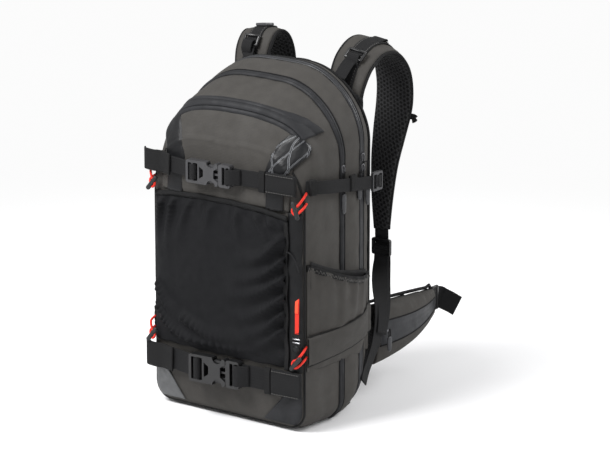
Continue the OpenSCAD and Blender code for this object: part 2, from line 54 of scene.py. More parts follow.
# ---- small tools ----
def nodeBox(node):  # a part's corners in millimetres
    low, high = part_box(node)
    return Vector(low) / mm, Vector(high) / mm


def smoothLookup(table, t):  # a curve through a table's points
    if t <= table[0][0]:
        return table[0][1]
    if t >= table[-1][0]:
        return table[-1][1]
    k = max(i for i in range(len(table) - 1) if table[i][0] <= t)
    x0, y0 = table[k]
    x1, y1 = table[k + 1]

    def slope(i):
        a, b = max(0, i - 1), min(len(table) - 1, i + 1)
        return (table[b][1] - table[a][1]) / (table[b][0] - table[a][0])
    w = x1 - x0
    s = (t - x0) / w
    return ((2 * s**3 - 3 * s**2 + 1) * y0 + (s**3 - 2 * s**2 + s) * w * slope(k)
            + (3 * s**2 - 2 * s**3) * y1 + (s**3 - s**2) * w * slope(k + 1))


def mix(a, b, t):
    return a + (b - a) * t


def smoothStep(a, b, t):
    s = min(1, max(0, (t - a) / (b - a)))
    return s * s * (3 - 2 * s)


def turns(count):  # the angles of one full turn
    return [2 * math.pi * k / count for k in range(count)]


def tagOf(side):
    return "Right" if side > 0 else "Left"


def bent(value, power):  # a power that keeps the sign
    return math.copysign(abs(value) ** power, value)


def ripple(x, y, z, size, seed=0):  # soft noise from -1 to 1, the same on every run
    return noise.noise(Vector((x / size + seed * 7.3, y / size - seed * 3.1, z / size + seed * 1.7)))


def curveThrough(points, steps):  # a smooth run through given points
    pts = [Vector(p) for p in points]
    out = []
    for i in range(len(pts) - 1):
        a, b, c, d = pts[max(0, i - 1)], pts[i], pts[i + 1], pts[min(len(pts) - 1, i + 2)]
        for k in range(steps):
            t = k / steps
            out.append(0.5 * ((2 * b) + (c - a) * t + (2 * a - 5 * b + 4 * c - d) * t**2
                              + (3 * b - a - 3 * c + d) * t**3))
    return out + [pts[-1]]


def valuesThrough(values, steps):
    return [v.x for v in curveThrough([(v, 0, 0) for v in values], steps)]


def finishPiece(obj, body, mat, replaces=()):
    obj.data.materials.append(mat)
    for poly in obj.data.polygons:
        poly.use_smooth = True
    for v in obj.data.vertices:  # nothing reaches under the floor
        v.co.z = max(v.co.z, 0.0004)
    if isinstance(body, str):
        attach(obj, body)
    else:  # two bodies and two points in millimetres, none of them read: the piece is only baked where it stands
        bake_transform(obj)
    if replaces:
        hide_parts(*replaces)
    return obj


def meshPiece(name, verts, faces, uvs=None):  # verts in millimetres, uvs in metres for each vertex
    mesh = bpy.data.meshes.new(name)
    mesh.from_pydata([Vector(v) * mm for v in verts], [], faces)
    if uvs:
        layer = mesh.uv_layers.new(name="cloth")
        for loop in mesh.loops:
            layer.data[loop.index].uv = uvs[loop.vertex_index]
    mesh.update()
    obj = bpy.data.objects.new(name, mesh)
    bpy.context.scene.collection.objects.link(obj)
    return obj


def rowUvs(rows, middleOf):  # how far each point lies across its row, and down through the rows' middles
    uvs = []
    down = 0
    for i, row in enumerate(rows):
        if i:
            down += (middleOf(row) - middleOf(rows[i - 1])).length
        across = 0
        for j, p in enumerate(row):
            if j:
                across += (Vector(p) - Vector(row[j - 1])).length
            uvs.append((across * mm, down * mm))
    return uvs


def gridPiece(name, rows, thick=0, offset=-1):  # a sheet of cloth through rows of points
    n = len(rows[0])
    verts = [p for row in rows for p in row]
    faces = [(i * n + j, i * n + j + 1, (i + 1) * n + j + 1, (i + 1) * n + j)
             for i in range(len(rows) - 1) for j in range(n - 1)]
    obj = meshPiece(name, verts, faces, rowUvs(rows, lambda row: Vector(row[n // 2])))
    if thick:
        solid = obj.modifiers.new("thickness", "SOLIDIFY")
        solid.thickness = thick * mm
        solid.offset = offset
    return obj


def sweptRows(points, sides, widths, thicks, section):
    rows = []
    last = len(points) - 1
    for i, p in enumerate(points):
        run = (points[min(last, i + 1)] - points[max(0, i - 1)]).normalized()
        side = sides[i] if isinstance(sides, list) else Vector(sides)
        side = (side - run * side.dot(run)).normalized()
        up = side.cross(run)
        w = widths[i] if isinstance(widths, list) else widths
        t = thicks[i] if isinstance(thicks, list) else thicks
        rows.append([p + side * (a * w / 2) + up * (b * t / 2) for a, b in section])
    return rows


def closedSweep(name, rows):  # a solid through closed rings, with capped ends
    n = len(rows[0])
    verts = [p for row in rows for p in row]
    faces = [(i * n + j, (i + 1) * n + j, (i + 1) * n + (j + 1) % n, i * n + (j + 1) % n)
             for i in range(len(rows) - 1) for j in range(n)]
    far = (len(rows) - 1) * n
    faces += [tuple(range(n)), tuple(far + j for j in reversed(range(n)))]
    uvs = rowUvs(rows, lambda row: sum((Vector(p) for p in row), Vector()) / n)
    return meshPiece(name, verts, faces, uvs)


webSection = [(-1, -0.4), (-0.97, -0.9), (-0.9, -1), (-0.3, -1), (0.3, -1), (0.9, -1), (0.97, -0.9),
              (1, -0.4), (1, 0.4), (0.97, 0.9), (0.9, 1), (0.3, 1), (-0.3, 1), (-0.9, 1), (-0.97, 0.9),
              (-1, 0.4)]


def webbing(name, points, sides, width, thick, body, mat, steps=6, replaces=()):
    run = curveThrough(points, steps)
    if isinstance(sides, list):
        sides = curveThrough(sides, steps)
    rows = sweptRows(run, sides, width, thick, webSection)
    return finishPiece(closedSweep(name, rows), body, mat, replaces)


def tube(name, points, radius, body, mat, steps=4, sidesN=10, replaces=()):
    run = curveThrough(points, steps)
    rows = []
    last = len(run) - 1
    side = Vector((0.3, 0.2, 1))
    for i, p in enumerate(run):
        along = (run[min(last, i + 1)] - run[max(0, i - 1)]).normalized()
        side = (side - along * side.dot(along)).normalized()
        up = along.cross(side)
        rows.append([p + (side * math.cos(a) + up * math.sin(a)) * radius for a in turns(sidesN)])
    return finishPiece(closedSweep(name, rows), body, mat, replaces)


def stitchRow(name, points, ups, body, mat, length=3.2, gap=1.2, radius=0.45):  # a row of threads
    verts, faces = [], []
    total = 0
    marks = []
    for i in range(len(points) - 1):
        a, b = Vector(points[i]), Vector(points[i + 1])
        seg = (b - a).length
        while len(marks) * (length + gap) <= total + seg:
            t = (len(marks) * (length + gap) - total) / max(seg, 1e-6)
            marks.append((a.lerp(b, t), (b - a).normalized(), Vector(ups[i]).normalized()))
        total += seg
    for p, along, up in marks:
        side = along.cross(up)
        base = len(verts)
        for s, h in ((-0.5, 0.1), (-0.3, 1), (0.3, 1), (0.5, 0.1)):
            for q in (-1, 1):
                verts.append(p + along * (s * length) + up * (h * radius) + side * (q * radius))
        for k in range(3):
            faces.append((base + 2 * k, base + 2 * k + 1, base + 2 * k + 3, base + 2 * k + 2))
        for q in (0, 1):
            faces.append(tuple(base + 2 * k + q for k in (range(4) if q == 0 else reversed(range(4)))))
    return finishPiece(meshPiece(name, verts, faces), body, mat)


# ---- camera ----
cameraSet = {"azimuth": 37, "elevation": 15.3, "distance": 5.5, "lens": 212, "aimRight": 0.0647,
             "aimUp": 0.2726}


def makeCamera():
    az, el = math.radians(cameraSet["azimuth"]), math.radians(cameraSet["elevation"])
    right = Vector((math.cos(az), math.sin(az), 0))
    back = Vector((math.sin(az) * math.cos(el), -math.cos(az) * math.cos(el), math.sin(el)))
    up = back.cross(right)
    aim = right * cameraSet["aimRight"] + up * cameraSet["aimUp"]
    data = bpy.data.cameras.new("camera")
    data.lens = cameraSet["lens"]
    data.sensor_width = 36
    data.clip_end = 50
    cam = bpy.data.objects.new("camera", data)
    cam.matrix_world = Matrix.Translation(aim + back * cameraSet["distance"]) @ Matrix(
        (right, up, back)).transposed().to_4x4()
    bpy.context.scene.collection.objects.link(cam)
    bpy.context.scene.camera = cam


makeCamera()


class Nodes:  # short calls for placing nodes in a tree
    def __init__(self, tree):
        self.tree = tree

    def add(self, kind, **settings):
        node = self.tree.nodes.new(kind)
        inputs = settings.pop("inputs", {})
        for key, value in settings.items():
            setattr(node, key, value)
        for key, value in inputs.items():
            self.put(node.inputs[key], value)
        return node

    def put(self, socket, value):
        if isinstance(value, bpy.types.NodeSocket):
            self.tree.links.new(value, socket)
        else:
            socket.default_value = value

    def math(self, operation, a, b=0.0, c=0.0):
        return self.add("ShaderNodeMath", operation=operation, inputs={0: a, 1: b, 2: c}).outputs[0]

    def blendColor(self, factor, a, b):
        node = self.add("ShaderNodeMix", data_type="RGBA")
        for key, value in ((0, factor), (6, a), (7, b)):
            self.put(node.inputs[key], value)
        return node.outputs[2]

    def remap(self, value, a, b, c, d):
        return self.add("ShaderNodeMapRange", inputs={0: value, 1: a, 2: b, 3: c, 4: d}).outputs[0]

    def noise(self, vector, scale, detail=2.0, rough=0.5):
        return self.add("ShaderNodeTexNoise", inputs={"Vector": vector, "Scale": scale, "Detail": detail,
                                                      "Roughness": rough}).outputs[0]


# ---- studio ----
studioSet = {"backdrop": 0.97, "ambient": 0.55, "keyPower": 105, "keySize": 1.3, "fillPower": 14,
             "rimPower": 55, "fadeFrom": 0.35, "fadeTo": 1.5}


def areaLight(name, at, aim, size, power):
    data = bpy.data.lights.new(name, "AREA")
    data.energy = power
    data.size = size
    lamp = bpy.data.objects.new(name, data)
    lamp.location = at
    lamp.rotation_euler = (Vector(at) - Vector(aim)).to_track_quat("Z", "Y").to_euler()
    bpy.context.scene.collection.objects.link(lamp)


def makeStudio():
    world = bpy.data.worlds.new("studio")
    world.use_nodes = True
    world.node_tree.nodes["Background"].inputs["Color"].default_value = (1, 1, 1, 1)
    n = Nodes(world.node_tree)
    seen = n.add("ShaderNodeLightPath").outputs["Is Camera Ray"]
    n.put(world.node_tree.nodes["Background"].inputs["Strength"],
          n.remap(seen, 0.0, 1.0, studioSet["ambient"], studioSet["backdrop"]))
    bpy.context.scene.world = world
    areaLight("keyLight", (-0.7, -1.5, 2.3), (0, 0, 0.3), studioSet["keySize"], studioSet["keyPower"])
    areaLight("fillLight", (2.4, -0.9, 1.1), (0, 0, 0.25), 1.6, studioSet["fillPower"])
    areaLight("rimLight", (1.6, 1.9, 1.9), (0, 0, 0.3), 1.2, studioSet["rimPower"])
    floor = meshPiece("floor", [(-9000, -9000, 0), (9000, -9000, 0), (9000, 9000, 0), (-9000, 9000, 0)],
                      [(0, 1, 2, 3)])
    paper = bpy.data.materials.new("floorPaper")
    paper.use_nodes = True
    shader = paper.node_tree.nodes["Principled BSDF"]
    shader.inputs["Base Color"].default_value = (0.86, 0.86, 0.87, 1)
    shader.inputs["Roughness"].default_value = 0.6
    n = Nodes(paper.node_tree)  # the paper fades to plain white away from the bag
    place = n.add("ShaderNodeTexCoord").outputs["Object"]
    far = n.add("ShaderNodeVectorMath", operation="LENGTH", inputs={0: place}).outputs["Value"]
    fade = n.add("ShaderNodeMapRange", interpolation_type="SMOOTHSTEP", inputs={
        0: far, 1: studioSet["fadeFrom"], 2: studioSet["fadeTo"]}).outputs[0]
    white = n.add("ShaderNodeEmission", inputs={"Strength": studioSet["backdrop"]}).outputs[0]
    both = n.add("ShaderNodeMixShader", inputs={0: fade, 1: shader.outputs[0], 2: white})
    n.put(paper.node_tree.nodes["Material Output"].inputs["Surface"], both.outputs[0])
    floor.data.materials.append(paper)


makeStudio()
bpy.context.scene.view_settings.view_transform = "Standard"
print("stage: camera and studio are in place")


# ---- shader groups ----
def socketOf(group, name, kind, value=None, out=False):
    item = group.interface.new_socket(name=name, in_out="OUTPUT" if out else "INPUT", socket_type=kind)
    if value is not None:
        item.default_value = value


def newGroup(name, inputs, outputs):
    group = bpy.data.node_groups.new(name, "ShaderNodeTree")
    for args in inputs:
        socketOf(group, *args)
    for title, kind in outputs:
        socketOf(group, title, kind, out=True)
    nodes = Nodes(group)
    return group, nodes, nodes.add("NodeGroupInput").outputs, nodes.add("NodeGroupOutput").inputs


def splitUv(n, vector):
    parts = n.add("ShaderNodeSeparateXYZ", inputs={0: vector})
    return parts.outputs[0], parts.outputs[1]


def clothWeaveGroup():  # crossing threads, pitch in metres, with a colour that wanders a little
    group, n, i, o = newGroup("clothWeave", [
        ("Vector", "NodeSocketVector"), ("Pitch", "NodeSocketFloat", 0.0012),
        ("Slant", "NodeSocketFloat", 0.0), ("Color", "NodeSocketColor", (0.1, 0.1, 0.1, 1)),
        ("Shade", "NodeSocketColor", (0.05, 0.05, 0.05, 1)),
        ("Mottle", "NodeSocketFloat", 0.3)], [("Color", "NodeSocketColor"), ("Height", "NodeSocketFloat")])
    u, v = splitUv(n, i["Vector"])
    turn = n.math("DIVIDE", 2 * math.pi, i["Pitch"])
    leaned = n.math("MULTIPLY_ADD", v, i["Slant"], u)
    warp = n.math("SINE", n.math("MULTIPLY", leaned, turn))
    weft = n.math("SINE", n.math("MULTIPLY", v, turn))
    cross = n.math("MULTIPLY", warp, weft)
    lines = n.math("MULTIPLY_ADD", weft, 0.45, cross)
    height = n.remap(lines, -1.4, 1.4, 0.0, 1.0)
    cloud = n.noise(i["Vector"], 55.0, 3.0)
    dusty = n.math("MULTIPLY", n.remap(cloud, 0.3, 0.7, 0.0, 1.0), i["Mottle"])
    factor = n.math("MINIMUM", n.math("MULTIPLY_ADD", n.math("SUBTRACT", 1.0, height), 0.65, dusty), 1.0)
    n.put(o["Color"], n.blendColor(factor, i["Color"], i["Shade"]))
    n.put(o["Height"], height)
    return group


def ribGroup():  # webbing: fine ribs across its run and a herringbone along it
    group, n, i, o = newGroup("webbingRibs", [
        ("Vector", "NodeSocketVector"), ("Pitch", "NodeSocketFloat", 0.0016),
        ("Color", "NodeSocketColor", (0.03, 0.03, 0.03, 1)),
        ("Shade", "NodeSocketColor", (0.01, 0.01, 0.01, 1))],
        [("Color", "NodeSocketColor"), ("Height", "NodeSocketFloat")])
    u, v = splitUv(n, i["Vector"])
    turn = n.math("DIVIDE", 2 * math.pi, i["Pitch"])
    zig = n.math("PINGPONG", u, 0.0022)
    ribs = n.math("SINE", n.math("MULTIPLY", n.math("ADD", v, zig), turn))
    fuzz = n.noise(i["Vector"], 900.0, 2.0)
    height = n.math("MULTIPLY_ADD", fuzz, 0.5, n.remap(ribs, -1.0, 1.0, 0.0, 0.8))
    n.put(o["Color"], n.blendColor(n.math("MINIMUM", height, 1.0), i["Shade"], i["Color"]))
    n.put(o["Height"], height)
    return group


def meshGroup():  # hexagonal spacer mesh, cell size in metres
    group, n, i, o = newGroup("spacerMesh", [
        ("Vector", "NodeSocketVector"), ("Cell", "NodeSocketFloat", 0.004),
        ("Color", "NodeSocketColor", (0.05, 0.05, 0.05, 1)),
        ("Hole", "NodeSocketColor", (0.005, 0.005, 0.005, 1))],
        [("Color", "NodeSocketColor"), ("Height", "NodeSocketFloat")])
    u, v = splitUv(n, i["Vector"])
    turn = n.math("DIVIDE", 2 * math.pi, i["Cell"])
    waves = []
    for k in range(3):
        a = math.radians(60 * k)
        along = n.math("MULTIPLY_ADD", v, math.sin(a), n.math("MULTIPLY", u, math.cos(a)))
        waves.append(n.math("COSINE", n.math("MULTIPLY", along, turn)))
    total = n.math("ADD", n.math("ADD", waves[0], waves[1]), waves[2])
    height = n.remap(total, -1.2, 1.6, 1.0, 0.0)
    n.put(o["Color"], n.blendColor(height, i["Hole"], i["Color"]))
    n.put(o["Height"], height)
    return group


def creaseGroup():  # soft creases and handling marks at two sizes
    group, n, i, o = newGroup("handledCreases", [
        ("Vector", "NodeSocketVector"), ("Scale", "NodeSocketFloat", 30.0),
        ("Sharp", "NodeSocketFloat", 0.4)],
        [("Height", "NodeSocketFloat"), ("Mask", "NodeSocketFloat")])
    bend = n.add("ShaderNodeVectorMath", operation="MULTIPLY_ADD", inputs={
        0: n.add("ShaderNodeTexNoise", inputs={"Vector": i["Vector"], "Scale": 18.0}).outputs[1],
        1: (0.03, 0.03, 0.03), 2: i["Vector"]}).outputs[0]
    broad = n.noise(bend, i["Scale"], 3.0, 0.55)
    fine = n.noise(bend, n.math("MULTIPLY", i["Scale"], 2.3), 2.0)
    ridge = n.math("ABSOLUTE", n.math("SUBTRACT", fine, 0.5))
    crease = n.math("MULTIPLY", n.remap(ridge, 0.0, 0.08, 1.0, 0.0), i["Sharp"])
    n.put(o["Height"], n.math("ADD", broad, crease))
    n.put(o["Mask"], n.remap(broad, 0.35, 0.65, 0.0, 1.0))
    return group


def quiltGroup():  # long slanted diamonds drawn with a double line
    group, n, i, o = newGroup("quiltLines", [
        ("Vector", "NodeSocketVector"), ("Width", "NodeSocketFloat", 0.027),
        ("Length", "NodeSocketFloat", 0.066)],
        [("Line", "NodeSocketFloat"), ("Height", "NodeSocketFloat")])
    u, v = splitUv(n, i["Vector"])
    across, along = n.math("DIVIDE", u, i["Width"]), n.math("DIVIDE", v, i["Length"])
    first = n.math("PINGPONG", n.math("ADD", across, along), 0.5)
    second = n.math("PINGPONG", n.math("SUBTRACT", across, along), 0.5)
    near = n.math("MINIMUM", first, second)
    line = n.math("MULTIPLY", n.remap(near, 0.022, 0.032, 0.0, 1.0), n.remap(near, 0.046, 0.058, 1.0, 0.0))
    n.put(o["Line"], line)
    n.put(o["Height"], n.remap(near, 0.0, 0.3, 0.0, 1.0))
    return group


groups = {g.name: g for g in (clothWeaveGroup(), ribGroup(), meshGroup(), creaseGroup(), quiltGroup())}


# ---- materials ----
def startMaterial(name, roughness, **sockets):
    mat = bpy.data.materials.new(name)
    mat.use_nodes = True
    shader = mat.node_tree.nodes["Principled BSDF"]
    shader.inputs["Roughness"].default_value = roughness
    for key, value in sockets.items():
        shader.inputs[key.replace("_", " ")].default_value = value
    n = Nodes(mat.node_tree)
    coords = n.add("ShaderNodeTexCoord").outputs
    return mat, n, shader, coords


def useGroup(n, name, **inputs):
    node = n.add("ShaderNodeGroup", node_tree=groups[name])
    for key, value in inputs.items():
        n.put(node.inputs[key], value)
    return node.outputs


def bumpInto(n, shader, layers):  # each layer is a height, a strength and a depth in metres
    normal = None
    for height, strength, depth in layers:
        bump = n.add("ShaderNodeBump", inputs={"Height": height, "Strength": strength, "Distance": depth})
        if normal:
            n.put(bump.inputs["Normal"], normal)
        normal = bump.outputs[0]
    n.put(shader.inputs["Normal"], normal)


def wovenCloth(name, color, shade, pitch=0.0022, slant=0.0, roughness=0.72, crease=0.22, mottle=0.35,
               shine=0.22):
    mat, n, shader, coords = startMaterial(name, roughness, Specular_IOR_Level=shine)
    weave = useGroup(n, "clothWeave", Vector=coords["UV"], Pitch=pitch, Slant=slant, Color=(*color, 1),
                     Shade=(*shade, 1), Mottle=mottle)
    folds = useGroup(n, "handledCreases", Vector=coords["Object"], Sharp=0.06)
    n.put(shader.inputs["Base Color"], weave["Color"])
    n.put(shader.inputs["Roughness"], n.remap(folds["Mask"], 0.0, 1.0, roughness - 0.06, roughness + 0.08))
    bumpInto(n, shader, [(folds["Height"], crease, 0.004), (weave["Height"], 0.35, 0.0006)])
    return mat


def ribbedWebbing(name, color, shade, roughness=0.75):
    mat, n, shader, coords = startMaterial(name, roughness, Specular_IOR_Level=0.18)
    ribs = useGroup(n, "webbingRibs", Vector=coords["UV"], Color=(*color, 1), Shade=(*shade, 1))
    n.put(shader.inputs["Base Color"], ribs["Color"])
    bumpInto(n, shader, [(ribs["Height"], 0.6, 0.0006)])
    return mat


def meshCloth(name, color, hole, cell=0.0045, roughness=0.85):
    mat, n, shader, coords = startMaterial(name, roughness, Specular_IOR_Level=0.18)
    net = useGroup(n, "spacerMesh", Vector=coords["UV"], Cell=cell, Color=(*color, 1), Hole=(*hole, 1))
    folds = useGroup(n, "handledCreases", Vector=coords["Object"])
    n.put(shader.inputs["Base Color"], net["Color"])
    bumpInto(n, shader, [(folds["Height"], 0.3, 0.003), (net["Height"], 0.8, 0.0012)])
    return mat


def coatedFilm(name, color, roughness=0.25, crease=0.6, quilt=False, coat=0.4, shine=0.3):
    mat, n, shader, coords = startMaterial(name, roughness, Coat_Weight=coat, Coat_Roughness=0.15,
                                           Specular_IOR_Level=shine)
    folds = useGroup(n, "handledCreases", Vector=coords["Object"], Scale=38.0, Sharp=0.15)
    tone = n.blendColor(folds["Mask"], (*color, 1), (*[c * 0.75 for c in color], 1))
    n.put(shader.inputs["Roughness"], n.remap(folds["Mask"], 0.0, 1.0, roughness, roughness + 0.15))
    layers = [(folds["Height"], crease, 0.003)]
    if quilt:
        lines = useGroup(n, "quiltLines", Vector=coords["UV"])
        tone = n.blendColor(n.math("MULTIPLY", lines["Line"], 0.6), tone, (0.30, 0.31, 0.33, 1))
        layers.append((lines["Height"], 0.35, 0.0012))
    n.put(shader.inputs["Base Color"], tone)
    bumpInto(n, shader, layers)
    return mat


def mouldedPlastic(name, color, roughness=0.35, metallic=0.0):
    mat, n, shader, coords = startMaterial(name, roughness, Metallic=metallic)
    grain = n.noise(coords["Object"], 900.0, 2.0)
    scuff = n.noise(coords["Object"], 60.0, 4.0, 0.6)
    n.put(shader.inputs["Roughness"], n.remap(scuff, 0.3, 0.7, roughness - 0.08, roughness + 0.12))
    n.put(shader.inputs["Base Color"], n.blendColor(n.remap(scuff, 0.45, 0.75, 0.0, 0.5), (*color, 1),
                                                    (*[c * 1.35 for c in color], 1)))
    bumpInto(n, shader, [(grain, 0.15, 0.0003)])
    return mat


olive = wovenCloth("oliveCloth", (0.050, 0.047, 0.043), (0.030, 0.028, 0.026), slant=0.15)
oliveSide = wovenCloth("oliveSideCloth", (0.050, 0.047, 0.043), (0.031, 0.029, 0.027), pitch=0.0018)
oliveBand = wovenCloth("oliveStretchBand", (0.046, 0.043, 0.040), (0.027, 0.026, 0.024), pitch=0.003,
                       crease=0.35)
stretch = wovenCloth("stretchKnit", (0.0115, 0.0117, 0.0128), (0.0064, 0.0065, 0.0073), pitch=0.0014,
                     crease=0.1, mottle=0.2, shine=0.07)
lining = wovenCloth("darkLining", (0.008, 0.008, 0.009), (0.004, 0.004, 0.004), pitch=0.001)
web = ribbedWebbing("blackWebbing", (0.011, 0.011, 0.0118), (0.004, 0.004, 0.0044))
binding = ribbedWebbing("bindingTape", (0.009, 0.009, 0.0096), (0.004, 0.004, 0.004))
hexMesh = meshCloth("hexMesh", (0.022, 0.022, 0.023), (0.003, 0.003, 0.003), 0.006)
airMesh = meshCloth("airMesh", (0.014, 0.014, 0.015), (0.003, 0.003, 0.003), 0.004)
zipFilm = coatedFilm("zipFilm", (0.016, 0.017, 0.020), 0.42, 0.2, coat=0.05, shine=0.35)
darkZip = coatedFilm("darkZipFilm", (0.014, 0.0145, 0.0165), 0.56, 0.2, coat=0.0, shine=0.24)
stripFilm = coatedFilm("stripFilm", (0.006, 0.0062, 0.007), 0.5, 0.2, coat=0.0, shine=0.2)
gloss = coatedFilm("glossFilm", (0.006, 0.0062, 0.0072), 0.42, 0.2, coat=0.0, shine=0.25)
quilted = coatedFilm("quiltedFilm", (0.005, 0.0053, 0.0065), 0.36, 0.08, quilt=True, coat=0.0, shine=0.3)
lightPatch = coatedFilm("lightPatchFilm", (0.085, 0.087, 0.09), 0.35, 0.25, coat=0.2)
redCord = ribbedWebbing("redCord", (0.78, 0.045, 0.028), (0.5, 0.02, 0.012), 0.6)
orangeTab = ribbedWebbing("orangeTab", (0.9, 0.11, 0.05), (0.7, 0.05, 0.02), 0.6)
gunPlastic = mouldedPlastic("gunmetalPlastic", (0.045, 0.045, 0.048), 0.32, 0.2)
blackPlastic = mouldedPlastic("blackPlastic", (0.008, 0.008, 0.0086), 0.38)
pullerRubber = mouldedPlastic("pullerRubber", (0.016, 0.017, 0.02), 0.42)
sliderMetal = mouldedPlastic("sliderMetal", (0.07, 0.07, 0.075), 0.32, 0.8)
brightMetal = mouldedPlastic("brightMetal", (0.36, 0.36, 0.38), 0.3, 1.0)
thread = mouldedPlastic("stitchThread", (0.05, 0.048, 0.045), 0.7)
toggleRubber = mouldedPlastic("toggleRubber", (0.006, 0.006, 0.0065), 0.6)
framePlastic = mouldedPlastic("framePlastic", (0.3, 0.3, 0.31), 0.5)
print("stage: materials are made")


def dressNode(node, mat):  # a carried-over part keeps its shape and takes a better material
    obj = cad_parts[node]
    obj.data.materials.clear()
    obj.data.materials.append(mat)


# ---- the bag's shape ----
widest = nodeBox("middle_gusset")[1]
bag = {"halfWidth": widest.x, "height": widest.z, "frontY": nodeBox("front_gusset")[0].y,
       "rearY": nodeBox("back_panel")[0].y - 0.4, "frontBulge": 14, "strapZ": 383, "lowerZ": 77}
hw, top = bag["halfWidth"] + 0.3, bag["height"] + 0.8
frontY, rearY = bag["frontY"], bag["rearY"]


def halfWidth(y):
    return smoothLookup([(frontY, hw - 6), (-60, hw - 3), (-10, hw), (55, hw - 1), (rearY, hw - 8)], y)


def topHeight(y):
    return smoothLookup([(frontY, top - 99), (-60, top - 50), (-35, top - 33), (-10, top - 22),
                         (20, top - 10), (55, top), (rearY, top - 5)], y)


def bottomHeight(y):
    return 2.9 + smoothLookup([(frontY, 5), (-62, 0), (54, 0), (rearY, 32)], y)


def topRound(y):
    return smoothLookup([(frontY, 92), (-60, 104), (rearY, 106)], y)


def bottomRound(y):
    return smoothLookup([(frontY, 26), (-10, 36), (20, 44), (55, 60), (rearY, 86)], y)


def crown(y):
    return smoothLookup([(frontY, 0), (-60, 10), (rearY, 14)], y)


# Steps along one half of the outline.
ringCounts = {"bottom": 14, "low": 16, "side": 56, "high": 40, "top": 10}


def outlineRing(y, lift=0.0):  # the bag's outline at a depth, from the bottom's middle and back
    a, t, b = halfWidth(y) + lift, topHeight(y) + lift, bottomHeight(y) - lift
    rt, rb, c = topRound(y) + lift, bottomRound(y) + lift, crown(y)
    half = []
    for k in range(ringCounts["bottom"]):
        half.append((mix(0, a - rb, k / ringCounts["bottom"]), b))
    for k in range(ringCounts["low"]):
        ang = math.radians(-90 + 90 * k / ringCounts["low"])
        half.append((a - rb + rb * math.cos(ang), b + rb + rb * math.sin(ang)))
    for k in range(ringCounts["side"]):
        half.append((a, mix(b + rb, t - rt, k / ringCounts["side"])))
    for k in range(ringCounts["high"]):
        ang = math.radians(90 * k / ringCounts["high"])
        x = a - rt + rt * math.cos(ang)
        half.append((x, t - rt + rt * math.sin(ang) - c * (x / a) ** 2 * math.sin(ang)))
    for k in range(ringCounts["top"] + 1):
        x = mix(a - rt, 0, k / ringCounts["top"])
        half.append((x, t - c * (x / a) ** 2))
    return [Vector((x, y, z)) for x, z in half] + [Vector((-x, y, z)) for x, z in reversed(half[1:-1])]


def outlineNormal(ring, k):
    d = ring[(k + 1) % len(ring)] - ring[k - 1]
    return Vector((d.z, 0, -d.x)).normalized()


def halfAt(y, z):  # the bag's half width at a depth and a height
    rt, rb, a = topRound(y), bottomRound(y), halfWidth(y)
    up, low = topHeight(y) - rt, bottomHeight(y) + rb
    if z > up:
        return a - rt + math.sqrt(max(0, rt**2 - (z - up) ** 2))
    if z < low:
        return a - rb + math.sqrt(max(0, rb**2 - (low - z) ** 2))
    return a


def swell(z):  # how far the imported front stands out, less where the straps hold it
    span = bag["strapZ"] - bag["lowerZ"]
    return (bag["frontBulge"] * (1 - abs(2 * (z - 8) / (top - 107) - 1) ** 3)
            + 2.5 * math.cos(2 * math.pi * (z - bag["lowerZ"] - span / 2) / span))


def frontFace(x, z):  # the front of the bag, and above its seam the front of the dome
    edge = halfAt(frontY, z)
    if z < topHeight(frontY) - 1 and abs(x) < edge:
        return frontY - 3 - max(0, swell(z)) * (1 - (abs(x) / edge) ** 2.4)
    lo, hi = frontY, 10.0
    for _ in range(14):
        y = (lo + hi) / 2
        inside = z < topHeight(y) - crown(y) * (x / halfWidth(y)) ** 2 and abs(x) < halfAt(y, z)
        lo, hi = (lo, y) if inside else (y, hi)
    return hi


# ---- shells between the zips ----
def shellBand(name, y0, y1, cols, puff, crumple, mat, nodes, seed):
    rows = []
    count = len(outlineRing(y0))
    rings = [outlineRing(mix(y0, y1, c / cols)) for c in range(cols + 1)]
    for k in range(count + 1):
        row = []
        for c in range(cols + 1):
            p, n = rings[c][k % count], outlineNormal(rings[c], k % count)
            s = c / cols
            lift = puff * math.sin(math.pi * s) ** 0.8
            pull = 0.8 * ripple(p.x, 0, p.z, 16, seed) * (1 - math.sin(math.pi * s))  # puckers at the seams
            body = crumple * ripple(p.x * 0.6, p.y * 1.6, p.z * 0.45, 38, seed) * math.sin(math.pi * s)
            strapSide = math.exp(-((p.z - 366) / 18) ** 2) * (abs(p.x) > 100) * 3.0
            row.append(p + n * (lift + pull + body - strapSide * math.sin(math.pi * s)))
        rows.append(row)
    obj = gridPiece(name, rows, thick=1.2)
    return finishPiece(obj, "bag", mat, nodes)


shellBand("frontGusset", frontY, -0.6, 22, 2.2, 3.0, oliveSide, ["front_gusset"], 1)
shellBand("middleGusset", 8.6, 49.4, 12, 2.6, 2.4, oliveSide, ["middle_gusset"], 2)
shellBand("rearGusset", 58.6, rearY, 8, 1.6, 1.2, oliveSide, ["rear_gusset"], 3)


def frontPanel():
    rows = []
    zs = [mix(8.5, topHeight(frontY) - 1.2, r / 84) for r in range(85)]
    for z in zs:
        edge = halfAt(frontY, z)
        row = []
        for c in range(57):
            x = mix(-edge, edge, c / 56)
            y = frontFace(x * 0.999, z) + 1.0 * ripple(x, 0, z, 40, 4) * (1 - (abs(x) / edge) ** 4)
            row.append(Vector((x, min(y, frontY + 0.3) if abs(x) < edge - 2 else frontY - 2, z)))
        rows.append(row)
    finishPiece(gridPiece("frontPanel", rows, thick=1.0), "bag", olive, ["front_panel"])


frontPanel()


def backPanel():
    rows = []
    for s in [i / 14 for i in range(15)]:
        ring = outlineRing(rearY)
        centre = Vector((0, rearY, 270))
        row = []
        for p in ring + ring[:1]:
            q = centre.lerp(p, max(0.004, s))
            q.y = rearY + 3.4 + 0.5 * ripple(q.x, 0, q.z, 25, 6) - (3.0 * s**12)
            row.append(q)
        rows.append(row)
    finishPiece(gridPiece("backPanel", rows, thick=2.2), "bag", airMesh, ["back_panel"])


backPanel()


